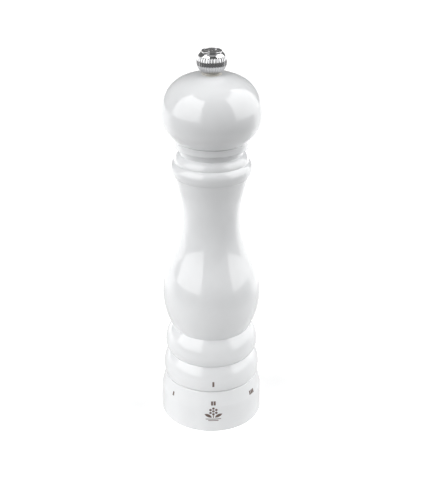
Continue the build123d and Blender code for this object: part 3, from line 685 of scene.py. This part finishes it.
class ShapeTrees:
    """The geometry node trees for what repeats: flutes, petals, thread turns and coils."""

    def __init__(self) -> None:
        """Builds every tree."""
        self.flutes = self._flutes()
        self.rosette = self._rosette()
        self.thread = self._thread()
        self.coil = self._coil()

    @staticmethod
    def _open(name: str, sizes: dict) -> tuple[Tree, bpy.types.Node, bpy.types.Node]:
        """Starts a tree that takes a mesh, its sizes and a finish."""
        inputs = {"Geometry": (GEOMETRY, None), **sizes, "Finish": (MATERIAL, None)}
        return new_group(name, "GeometryNodeTree", inputs, {"Geometry": GEOMETRY})

    @staticmethod
    def _close(
        tree: Tree, geometry: bpy.types.NodeSocket, given: bpy.types.Node, made: bpy.types.Node
    ) -> None:
        """Ends a tree in Realize Instances, smooth shading and its material."""
        real = tree.add("GeometryNodeRealizeInstances", {0: geometry})
        smooth = tree.add("GeometryNodeSetShadeSmooth", {"Geometry": real.outputs[0]})
        painted = tree.add(
            "GeometryNodeSetMaterial", {"Geometry": smooth.outputs[0], "Material": given.outputs["Finish"]}
        )
        tree.tree.links.new(painted.outputs[0], made.inputs["Geometry"])

    @staticmethod
    def _polar(tree: Tree) -> tuple:
        """Adds nodes for a point's place and returns its x, y and z, its radius and its angle."""
        place = tree.add("GeometryNodeInputPosition").outputs[0]
        x, y, z = tree.add("ShaderNodeSeparateXYZ", {0: place}).outputs
        across = tree.math("ADD", tree.math("MULTIPLY", x, x), tree.math("MULTIPLY", y, y))
        return x, y, z, tree.math("SQRT", across), tree.math("ARCTAN2", y, x)

    @staticmethod
    def _sector(tree: Tree, angle: object, count: object) -> bpy.types.NodeSocket:
        """The signed angle from the middle of the nearest of a count of sectors."""
        pitch = tree.math("DIVIDE", 2 * math.pi, count)
        turns = tree.math("ADD", tree.math("DIVIDE", angle, pitch), 0.5)
        return tree.math("MULTIPLY", tree.math("SUBTRACT", tree.math("FRACT", turns), 0.5), pitch)

    @staticmethod
    def _mark(tree: Tree) -> bpy.types.NodeSocket:
        """The attribute that says how far a point is worked."""
        node = tree.add("GeometryNodeInputNamedAttribute", {"Name": "worked"}, data_type="FLOAT")
        return node.outputs["Attribute"]

    def _flutes(self) -> bpy.types.NodeTree:
        """Round-bottomed grooves up a turned side, evenly round it."""
        tree, given, made = self._open(
            "knob_flutes",
            {
                "Flutes": (INTEGER, 34),
                "Cutter Radius": (FLOAT, 0.00055),
                "Depth": (FLOAT, 0.00035),
            },
        )
        _, _, _, radius, angle = self._polar(tree)
        aside = tree.math("MULTIPLY", self._sector(tree, angle, given.outputs["Flutes"]), radius)
        cutter = given.outputs["Cutter Radius"]
        inside = tree.math("SUBTRACT", tree.math("POWER", cutter, 2.0), tree.math("POWER", aside, 2.0))
        bottom = tree.math("SQRT", tree.math("MAXIMUM", inside, 0.0))
        stand_off = tree.math("SUBTRACT", cutter, given.outputs["Depth"])
        depth = tree.math("MAXIMUM", tree.math("SUBTRACT", bottom, stand_off), 0.0)
        worked = tree.math("MULTIPLY", depth, self._mark(tree))
        normal = tree.add("GeometryNodeInputNormal").outputs[0]
        inward = tree.math("MULTIPLY", worked, -1.0)
        offset = tree.add("ShaderNodeVectorMath", {0: normal, "Scale": inward}, operation="SCALE")
        moved = tree.add(
            "GeometryNodeSetPosition", {"Geometry": given.outputs["Geometry"], "Offset": offset.outputs[0]}
        )
        self._close(tree, moved.outputs[0], given, made)
        return tree.tree

    def _rosette(self) -> bpy.types.NodeTree:
        """A struck rosette: a sunk field with round petals about a boss."""
        tree, given, made = self._open(
            "cap_rosette",
            {
                "Petals": (INTEGER, 8),
                "Petal Middle": (FLOAT, 0.0028),
                "Petal Length": (FLOAT, 0.0016),
                "Petal Width": (FLOAT, 0.00075),
                "Boss Radius": (FLOAT, 0.0009),
                "Field Radius": (FLOAT, 0.0048),
                "Depth": (FLOAT, 0.00018),
            },
        )
        _, _, _, radius, angle = self._polar(tree)
        turn = self._sector(tree, angle, given.outputs["Petals"])
        reach = tree.math("MULTIPLY", radius, tree.math("COSINE", turn))
        along = tree.math("SUBTRACT", reach, given.outputs["Petal Middle"])
        across = tree.math("MULTIPLY", radius, tree.math("SINE", turn))
        long_share = tree.math("POWER", tree.math("DIVIDE", along, given.outputs["Petal Length"]), 2.0)
        wide_share = tree.math("POWER", tree.math("DIVIDE", across, given.outputs["Petal Width"]), 2.0)
        petal = tree.ramp(tree.math("ADD", long_share, wide_share), 1.12, 0.55)
        boss_share = tree.math("DIVIDE", radius, given.outputs["Boss Radius"])
        boss = tree.ramp(boss_share, 1.1, 0.7)
        rim = tree.ramp(tree.math("DIVIDE", radius, given.outputs["Field Radius"]), 0.965, 1.0)
        raised = tree.math("MAXIMUM", tree.math("MAXIMUM", petal, boss), rim)
        sunk = tree.math("MULTIPLY", tree.math("SUBTRACT", raised, 1.0), given.outputs["Depth"])
        worked = tree.math("MULTIPLY", sunk, self._mark(tree))
        offset = tree.add("ShaderNodeCombineXYZ", {"Z": worked})
        moved = tree.add(
            "GeometryNodeSetPosition", {"Geometry": given.outputs["Geometry"], "Offset": offset.outputs[0]}
        )
        self._close(tree, moved.outputs[0], given, made)
        return tree.tree

    def _thread(self) -> bpy.types.NodeTree:
        """A right-handed vee thread cut into a turned side."""
        tree, given, made = self._open(
            "screw_thread",
            {
                "Pitch": (FLOAT, 0.0008),
                "Depth": (FLOAT, 0.0003),
            },
        )
        x, y, z, radius, angle = self._polar(tree)
        climbed = tree.math("DIVIDE", z, given.outputs["Pitch"])
        turns = tree.math("SUBTRACT", climbed, tree.math("DIVIDE", angle, 2 * math.pi))
        vee = tree.math("PINGPONG", turns, 0.5)
        cut = tree.math("MULTIPLY", tree.math("MULTIPLY", vee, 2.0), given.outputs["Depth"])
        worked = tree.math("MULTIPLY", cut, self._mark(tree))
        share = tree.math("SUBTRACT", 1.0, tree.math("DIVIDE", worked, tree.math("MAXIMUM", radius, 1e-6)))
        place = tree.add(
            "ShaderNodeCombineXYZ",
            {"X": tree.math("MULTIPLY", x, share), "Y": tree.math("MULTIPLY", y, share), "Z": z},
        )
        moved = tree.add(
            "GeometryNodeSetPosition", {"Geometry": given.outputs["Geometry"], "Position": place.outputs[0]}
        )
        self._close(tree, moved.outputs[0], given, made)
        return tree.tree

    def _coil(self) -> bpy.types.NodeTree:
        """A coil of round wire that rises from the origin along Z, then is turned and moved."""
        tree, given, made = self._open(
            "wire_coil",
            {
                "Turns": (FLOAT, 4.0),
                "Coil Radius": (FLOAT, 0.005),
                "Height": (FLOAT, 0.007),
                "Wire Radius": (FLOAT, 0.0004),
                "Place": (VECTOR, None),
                "Tilt": (VECTOR, None),
            },
        )
        path = tree.add(
            "GeometryNodeCurveSpiral",
            {
                "Resolution": 40,
                "Rotations": given.outputs["Turns"],
                "Start Radius": given.outputs["Coil Radius"],
                "End Radius": given.outputs["Coil Radius"],
                "Height": given.outputs["Height"],
            },
        )
        wire = tree.add(
            "GeometryNodeCurvePrimitiveCircle", {"Resolution": 14, "Radius": given.outputs["Wire Radius"]}
        )
        tube = tree.add(
            "GeometryNodeCurveToMesh",
            {"Curve": path.outputs[0], "Profile Curve": wire.outputs[0], "Fill Caps": True},
        )
        put = tree.add(
            "GeometryNodeTransform",
            {
                "Geometry": tube.outputs[0],
                "Translation": given.outputs["Place"],
                "Rotation": given.outputs["Tilt"],
            },
        )
        self._close(tree, put.outputs[0], given, made)
        return tree.tree


SHAPES = ShapeTrees()


def levels(node: str) -> tuple[float, float, float]:
    """Returns a node's lowest and highest level and its greatest radius, in millimetres."""
    low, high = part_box(node)
    return low.z / MM, high.z / MM, high.x / MM


def placed(piece: bpy.types.Object, body: str, slot: str, *nodes: str) -> bpy.types.Object:
    """Rides a piece on its body and lets it stand for CAD nodes, which it hides."""
    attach(piece, body)
    if nodes:
        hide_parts(*nodes)
    log.info("%s rides on %s with %d faces", piece.name, body, len(piece.data.polygons))
    return piece


# ------------------------------------------------------------------ sub-assemblies
@dataclass
class BaseRing:
    """The turning ring at the foot that sets the grind."""

    side_radius: float = 29.35
    shoulder_drop: float = 8.9
    shoulder_middle: Point = (28.3, 4.8)
    top_radius: float = 27.35
    bore: float = 25.8
    edge: float = 0.4
    segments: int = 320

    def outline(self) -> Outline:
        """Returns the ring's closed outline."""
        foot, top, radius = levels("ring_shell")
        o = Outline(self.bore, top, 0.0)
        o.corner(self.edge).line(self.bore, foot, 0.3)
        o.line(self.bore + 1.2, foot).marked(1.0)
        o.line(radius - 0.5, foot, 0.35).line(radius, foot + 0.6, 0.35)
        o.line(self.side_radius, top - self.shoulder_drop, steps=6)
        o.arc((self.shoulder_middle[0], top - self.shoulder_middle[1]), (self.top_radius, top - self.edge))
        o.line(self.top_radius - self.edge, top, 0.45)
        o.line(self.bore + 0.9, top)
        return o

    def build(self) -> None:
        """Makes the ring."""
        piece = turned("base_ring", self.outline(), "white_lacquer", self.segments)
        placed(piece, "setting_ring", "white_lacquer", "ring_shell")


@dataclass
class TurnedBody:
    """The waisted body with two beads, a belly, a flared neck and a collar."""

    start_radius: float = 27.4
    low_bead: Point = (27.9, 5.3)
    low_groove: Point = (24.5, 14.9)
    high_bead: Point = (26.75, 20.6)
    high_groove: Point = (22.5, 31.7)
    belly: Point = (27.84, 52.6)
    waist: Point = (16.56, 44.9)
    belly_shares: tuple = ((0.195, 0.28), (0.63, 0.525), (0.92, 0.775))
    flare: tuple = ((18.0, 31.65), (20.65, 21.8))
    collar_base: Point = (21.1, 20.5)
    collar_crest: Point = (22.74, 16.4)
    collar_step: Point = (20.4, 12.35)
    neck_groove: Point = (17.4, 7.8)
    lip_radius: float = 20.4
    lip_height: float = 3.9
    edge: float = 0.4
    crease: float = 0.22
    recess_radius: float = 14.9
    recess_depth: float = 12.0
    grain_bore: float = 12.75
    mechanism_bore: float = 19.0
    mechanism_top: float = 46.6
    segments: int = 256

    def outline(self) -> Outline:
        """Returns the body's closed outline, up the outside and down the bores."""
        foot, top, _ = levels("body_shell")

        def up(point: Point) -> Point:
            """A point given above the body's foot."""
            return (point[0], foot + point[1])

        def down(point: Point) -> Point:
            """A point given below the body's top."""
            return (point[0], top - point[1])

        belly, waist = up(self.belly), down(self.waist)
        middle = [
            (belly[0] + (waist[0] - belly[0]) * out, belly[1] + (waist[1] - belly[1]) * rise)
            for out, rise in self.belly_shares
        ]
        o = Outline(self.mechanism_bore, foot, 0.0).corner(0.3)
        o.line(self.mechanism_bore + 6.2, foot).marked(1.0)
        o.line(self.start_radius - self.edge, foot, self.edge).line(self.start_radius, foot + self.edge)
        o.crest(up(self.low_bead), up(self.low_groove)).corner(self.crease)
        o.crest(up(self.high_bead), up(self.high_groove)).corner(self.crease)
        o.quarter(belly, up(self.high_groove), 30, towards_crest=True)
        o.curve([*middle, waist], (0, 1), (0, 1))
        o.curve([down(p) for p in self.flare], (0, 1), (0.25, 1))
        o.line(*down(self.collar_base)).corner(self.crease)
        o.crest(down(self.collar_crest), down(self.collar_step)).corner(self.crease)
        o.quarter(down(self.collar_step), down(self.neck_groove), 16, towards_crest=False)
        o.corner(0.3)
        o.line(self.neck_groove[0] + 0.2, top - self.lip_height - 0.6, 0.2)
        o.line(self.lip_radius - 0.2, top - self.lip_height, 0.45)
        o.line(self.lip_radius, top - self.lip_height + 0.3, 0.3)
        o.line(self.lip_radius, top, 0.45)
        o.line(self.recess_radius + 2.5, top).marked(0.0)
        o.line(self.recess_radius, top, 0.35)
        o.line(self.recess_radius, top - self.recess_depth, 0.2)
        o.line(self.grain_bore, top - self.recess_depth, 0.3)
        o.line(self.grain_bore, self.mechanism_top, 0.3)
        o.line(self.mechanism_bore, self.mechanism_top, 0.2)
        return o

    def build(self) -> None:
        """Makes the body."""
        piece = turned("turned_body", self.outline(), "white_lacquer", self.segments)
        placed(piece, "mill_body", "white_lacquer", "body_shell")


@dataclass
class BulbHead:
    """The bulb-shaped head with the spigot that turns in the body's recess."""

    edge_radius: float = 21.05
    low_point: Point = (25.85, 6.1)
    crest: Point = (28.05, 15.2)
    high_points: tuple = ((26.2, 23.1), (19.8, 31.1), (13.8, 34.1))
    flat_radius: float = 6.5
    spigot_radius: float = 14.6
    spigot_length: float = 11.6
    plate_recess: Point = (11.0, 1.5)
    shaft_hole: float = 4.6
    bush_bore: Point = (5.6, 8.0)
    segments: int = 288

    def outline(self) -> Outline:
        """Returns the head's closed outline."""
        bottom, top, _ = levels("head_shell")
        base = bottom + self.spigot_length
        o = Outline(self.shaft_hole, bottom + self.plate_recess[1], 0.0)
        o.line(self.plate_recess[0], bottom + self.plate_recess[1])
        o.line(self.plate_recess[0], bottom, 0.2).line(self.spigot_radius, bottom, 0.5)
        o.line(self.spigot_radius, base, 0.25)
        o.line(self.spigot_radius + 2.5, base).marked(1.0)
        o.line(self.edge_radius - 0.4, base, 0.25).line(self.edge_radius, base + 0.2)
        heights = [self.low_point, self.crest, *self.high_points]
        o.curve([*[(r, base + h) for r, h in heights], (self.flat_radius, top)], (0.9, 1), (-1, 0))
        o.line(self.bush_bore[0], top).marked(0.0).line(self.bush_bore[0], top - self.bush_bore[1])
        o.line(self.shaft_hole, top - self.bush_bore[1])
        return o

    def build(self) -> None:
        """Makes the head."""
        piece = turned("bulb_head", self.outline(), "white_lacquer", self.segments)
        placed(piece, "head", "white_lacquer", "head_shell")


@dataclass
class FlutedKnob:
    """The chromed knob that screws on to the shaft, with its struck cap."""

    foot_radius: float = 3.8
    crest: Point = (8.1, 6.2)
    rim_radius: float = 5.9
    insert_radius: float = 3.3
    insert_length: float = 7.8
    cap_radius: float = 5.5
    cap_seat: float = 0.8
    flutes: int = 34
    cutter_radius: float = 0.55
    flute_depth: float = 0.35
    flute_reach: Point = (0.035, 0.86)
    fade: float = 0.045
    side_steps: int = 110
    faces_per_flute: int = 18
    cap_steps: int = 84
    cap_segments: int = 288
    cap_rim: float = 0.7

    def shell(self) -> None:
        """Makes the fluted shell."""
        foot, rim, _ = levels("knob_shell")
        o = Outline(self.insert_radius, foot, 0.0).corner(0.12)
        o.line(self.foot_radius, foot, 0.1)
        start = len(o.points)
        middle = (self.crest[0], foot + self.crest[1])
        o.arc(middle, (self.rim_radius, rim), self.side_steps).corner(0.16)
        for i in range(self.side_steps):
            share = (i + 1) / self.side_steps
            low = min(1.0, max(0.0, (share - self.flute_reach[0]) / self.fade))
            high = min(1.0, max(0.0, (self.flute_reach[1] - share) / self.fade))
            o.marks[start + i] = low * high * (3 - 2 * low) * (3 - 2 * high) * low * high
        o.line(self.cap_radius, rim, 0.1).line(self.cap_radius, rim - self.cap_seat)
        o.line(0.0, rim - self.cap_seat).line(0.0, foot + self.insert_length)
        o.line(self.insert_radius, foot + self.insert_length)
        segments = self.flutes * self.faces_per_flute
        piece = turned("knob_body", self._ring_only(o), "chrome", segments, "worked")
        piece = shaped_by(
            piece,
            SHAPES.flutes,
            Flutes=self.flutes,
            Cutter_Radius=self.cutter_radius * MM,
            Depth=self.flute_depth * MM,
            Finish=PAINT.material("chrome"),
        )
        placed(piece, "knob", "chrome", "knob_shell")

    @staticmethod
    def _ring_only(o: Outline) -> Outline:
        """Turns an outline that touches the axis in its middle so that it starts and ends there."""
        first = next(i for i, p in enumerate(o.points) if p[0] < ON_AXIS)
        cut = first + 1
        corners = {(i - cut) % len(o.points): r for i, r in o.corners.items()}
        o.points = o.points[cut:] + o.points[:cut]
        o.marks = o.marks[cut:] + o.marks[:cut]
        o.corners = corners
        return o

    def cap(self) -> None:
        """Makes the struck cap."""
        low, top, radius = levels("knob_cap")
        o = Outline(0.0, low, 0.0).line(radius, low, 0.1).line(radius, top, 0.28)
        o.line(radius - self.cap_rim, top).marked(1.0).line(0.0, top, steps=self.cap_steps)
        piece = turned("knob_emblem_cap", o, "chrome", self.cap_segments, "worked")
        piece = shaped_by(piece, SHAPES.rosette, Finish=PAINT.material("chrome"))
        placed(piece, "knob", "chrome", "knob_cap")

    def build(self) -> None:
        """Makes the knob's two chromed pieces."""
        self.shell()
        self.cap()


@dataclass
class DriveShaft:
    """The square shaft with its journal, clip grooves and threaded top."""

    half_square: float = 3.0
    corner_radius: float = 4.15
    groove_radius: float = 3.4
    groove_width: float = 0.8
    journal_radius: float = 2.55
    square_start: float = 20.0
    thread_length: float = 18.0
    thread_radius: float = 2.5
    pitch: float = 0.8
    thread_depth: float = 0.3
    thread_steps: int = 220
    thread_lead_in: float = 0.6
    segments: int = 96

    def build(self) -> None:
        """Makes the shaft and its thread."""
        bottom, top, _ = levels("drive_shaft")
        thread_base = top - self.thread_length
        o = Outline(0.0, bottom, 0.0).line(self.journal_radius, bottom, 0.5)
        o.line(self.journal_radius, self.square_start).line(self.corner_radius, self.square_start, 0.15)
        for clip in ("shaft_clip_lower", "shaft_clip_upper"):
            low = levels(clip)[0]
            high = low + self.groove_width
            o.line(self.corner_radius, low).line(self.groove_radius, low)
            o.line(self.groove_radius, high).line(self.corner_radius, high)
        o.line(self.corner_radius, thread_base, 0.15).line(self.thread_radius, thread_base)
        o.marked(1.0).line(self.thread_radius, top - self.thread_lead_in, steps=self.thread_steps)
        o.line(self.thread_radius - self.thread_lead_in, top, 0.1).marked(0.0).line(0.0, top)
        piece = turned("square_shaft", o, "bright_steel", self.segments, "worked", flat=self.half_square)
        piece = shaped_by(
            piece,
            SHAPES.thread,
            Pitch=self.pitch * MM,
            Depth=self.thread_depth * MM,
            Finish=PAINT.material("bright_steel"),
        )
        placed(piece, "shaft", "bright_steel", "drive_shaft")


@dataclass
class Springs:
    """The coil that pushes the grinding cone down and the small one behind the detent ball."""

    cone_wire: float = 0.4
    cone_turns: float = 4.6
    detent_wire: float = 0.19
    detent_turns: float = 5.0

    @staticmethod
    def _holder(name: str) -> bpy.types.Object:
        """Returns an empty mesh object for a coil tree to fill."""
        piece = bpy.data.objects.new(name, bpy.data.meshes.new(name))
        bpy.context.scene.collection.objects.link(piece)
        return piece

    def build(self) -> None:
        """Makes both coils."""
        low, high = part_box("rotor_spring")
        wire = self.cone_wire * MM
        cone = shaped_by(
            self._holder("cone_spring"),
            SHAPES.coil,
            Turns=self.cone_turns,
            Coil_Radius=high.x - wire,
            Height=high.z - low.z - 2 * wire,
            Wire_Radius=wire,
            Place=(0, 0, low.z + wire),
            Finish=PAINT.material("spring_steel"),
        )
        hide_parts("rotor_spring")
        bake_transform(cone)
        low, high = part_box("detent_spring")
        wire = self.detent_wire * MM
        detent = shaped_by(
            self._holder("detent_coil"),
            SHAPES.coil,
            Turns=self.detent_turns,
            Coil_Radius=(high.y - low.y) / 2 - wire,
            Height=high.x - low.x - 2 * wire,
            Wire_Radius=wire,
            Place=(high.x - wire, (low.y + high.y) / 2, (low.z + high.z) / 2),
            Tilt=(0, -math.pi / 2, 0),
            Finish=PAINT.material("spring_steel"),
        )
        placed(detent, "mill_body", "spring_steel", "detent_spring")


@dataclass
class MachinedParts:
    """The CAD nodes whose shape is right: each keeps its mesh and gets its slot's finish."""

    slots: dict = field(default_factory=lambda: {
        part["node"]: part["material_slot"] for part in frame["record"]["subparts"]
    })

    def build(self) -> None:
        """Gives every node that still shows its finish."""
        for name, node in frame["nodes"].items():
            if node.hide_render:
                continue
            node.data.materials.clear()
            node.data.materials.append(PAINT.material(self.slots[name]))
            log.info("%s keeps its mesh, in %s", name, self.slots[name])


# ------------------------------------------------------------------ studio
Light = tuple[float, float, float]


@dataclass
class Studio:
    """The pale floor, the soft light round the mill, and the camera.

    Bearings are degrees round from the camera's side, to the right; heights are degrees above the floor.
    A panel's light is its colour times panel_foot at the floor, and panel_climb more for each radian up.
    """

    lens: float = 73.6
    distance: float = 0.5237
    height: float = 0.3592
    pitch: float = 25.95
    bearing: float = 2.6
    aside: float = 0.0006
    roll: float = 0.12
    floor_reach: float = 6.0
    table_reach: float = 0.22
    table_fade: float = 0.2
    back_lean: float = -0.2
    back_fade: float = 0.1
    left_panel: tuple = (-97.0, -27.0)
    right_panel: tuple = (50.0, 130.0)
    panel_top: float = 60.0
    panel_foot: float = 0.8
    panel_climb: float = 0.45
    ceiling_start: float = 74.0
    left_light: Light = (2.65, 2.65, 2.65)
    right_light: Light = (2.35, 2.35, 2.35)
    ceiling_light: Light = (0.35, 0.35, 0.35)
    upper_light: Light = (0.45, 0.45, 0.45)
    back_light: Light = (0.2, 0.2, 0.2)
    front_light: Light = (0.1, 0.1, 0.1)
    table_light: Light = (0.8, 0.8, 0.8)
    floor_front_light: Light = (0.18, 0.18, 0.18)
    floor_back_light: Light = (1.45, 1.45, 1.45)
    floor_glow: float = 0.34

    @staticmethod
    def window(tree: Tree, value: object, low: float, high: float, soft: float = 1.5) -> bpy.types.NodeSocket:
        """1 between two angles in degrees, with soft ends."""
        a, b, s = math.radians(low), math.radians(high), math.radians(soft)
        return tree.math("MULTIPLY", tree.ramp(value, a - s, a + s), tree.ramp(value, b + s, b - s))

    @staticmethod
    def opaque(light: Light) -> tuple[float, float, float, float]:
        """A light as a colour with its alpha."""
        return (*light, 1.0)

    def floor(self) -> None:
        """Makes a pale floor: lit and shadowed where the camera sees it, and a zoned glow to other rays."""
        bm = bmesh.new()
        bmesh.ops.create_grid(bm, x_segments=2, y_segments=2, size=self.floor_reach)
        mesh = bpy.data.meshes.new("floor")
        bm.to_mesh(mesh)
        bm.free()
        floor = bpy.data.objects.new("floor", mesh)
        bpy.context.scene.collection.objects.link(floor)
        s = Surface("pale_floor")
        s.set(Base_Color=(0.86, 0.86, 0.86, 1), Roughness=0.6, Specular_IOR_Level=0.2)
        s.set(Emission_Color=(1, 1, 1, 1), Emission_Strength=self.floor_glow)
        place = s.add("ShaderNodeTexCoord").outputs["Object"]
        x, y, _ = s.add("ShaderNodeSeparateXYZ", {0: place}).outputs
        reach = s.add("ShaderNodeVectorMath", {0: place}, operation="LENGTH").outputs["Value"]
        fade = self.table_reach * self.table_fade
        far = s.ramp(reach, self.table_reach - fade, self.table_reach + fade)
        lean = s.math("MULTIPLY", s.math("ABSOLUTE", x), self.back_lean)
        behind = s.ramp(s.math("ADD", y, lean), -self.back_fade, self.back_fade)
        beyond = s.mix(behind, self.opaque(self.floor_front_light), self.opaque(self.floor_back_light))
        glow = s.add("ShaderNodeEmission", {0: s.mix(far, self.opaque(self.table_light), beyond)})
        seen = s.add("ShaderNodeLightPath").outputs["Is Camera Ray"]
        both = s.add("ShaderNodeMixShader", {0: seen, 1: glow.outputs[0], 2: s.shader.outputs[0]})
        s.tree.links.new(both.outputs[0], s.tree.nodes["Material Output"].inputs["Surface"])
        mesh.materials.append(s.material)

    def sky(self) -> None:
        """Makes the light from all round: two side panels, a ceiling, and dimmer bands between them."""
        world = bpy.data.worlds.new("studio")
        bpy.context.scene.world = world
        world.use_nodes = True
        tree = Tree(world.node_tree)
        background = tree.tree.nodes["Background"]
        direction = tree.add("ShaderNodeTexCoord").outputs["Generated"]
        x, y, z = tree.add("ShaderNodeSeparateXYZ", {0: direction}).outputs
        bearing = tree.math("ARCTAN2", x, tree.math("MULTIPLY", y, -1.0))
        rise = tree.math("ARCSINE", z)
        under_top = self.window(tree, rise, -90.0, self.panel_top)
        left = tree.math("MULTIPLY", self.window(tree, bearing, *self.left_panel), under_top)
        right = tree.math("MULTIPLY", self.window(tree, bearing, *self.right_panel), under_top)
        ceiling = self.window(tree, rise, self.ceiling_start, 100.0)
        climb = tree.math("MULTIPLY_ADD", rise, self.panel_climb, self.panel_foot)
        front = self.window(tree, bearing, self.left_panel[0], self.right_panel[1])
        light = tree.mix(front, self.opaque(self.back_light), self.opaque(self.front_light))
        light = tree.mix(under_top, self.opaque(self.upper_light), light)
        for mask, panel in (
            (left, self.left_light), (right, self.right_light), (ceiling, self.ceiling_light)
        ):
            lit = tree.add("ShaderNodeVectorMath", {0: panel, "Scale": climb}, operation="SCALE")
            light = tree.mix(mask, light, lit.outputs["Vector"])
        seen = tree.add("ShaderNodeLightPath").outputs["Is Camera Ray"]
        tree.tree.links.new(tree.mix(seen, light, (1.0, 1.0, 1.0, 1.0)), background.inputs["Color"])

    def camera(self) -> None:
        """Places the camera in front, above and looking down."""
        data = bpy.data.cameras.new("camera")
        data.lens, data.sensor_width = self.lens, 36.0
        data.clip_start, data.clip_end = 0.01, 50.0
        camera = bpy.data.objects.new("camera", data)
        bpy.context.scene.collection.objects.link(camera)
        turn, tip = math.radians(self.bearing), math.radians(self.pitch)
        side = Vector((math.cos(turn), -math.sin(turn), 0))
        out = Vector((-math.sin(turn), -math.cos(turn), 0))
        look = -out * math.cos(tip) + Vector((0, 0, -1)) * math.sin(tip)
        camera.rotation_mode = "QUATERNION"
        level = look.to_track_quat("-Z", "Y")
        camera.rotation_quaternion = level @ Matrix.Rotation(math.radians(self.roll), 4, "Z").to_quaternion()
        camera.location = out * self.distance + side * self.aside + Vector((0, 0, self.height))
        bpy.context.scene.camera = camera

    def build(self) -> None:
        """Makes the floor, the light and the camera."""
        self.floor()
        self.sky()
        self.camera()
        bpy.context.scene.view_settings.view_transform = "Standard"


def main() -> None:
    """Builds the mill from the foot up, then the studio."""
    logging.basicConfig(level=logging.INFO, format="%(message)s")
    shells = (BaseRing(), TurnedBody(), BulbHead(), FlutedKnob())
    for part in (*shells, DriveShaft(), Springs(), MachinedParts()):
        part.build()
    Studio().build()


if __name__ == "__main__":
    main()
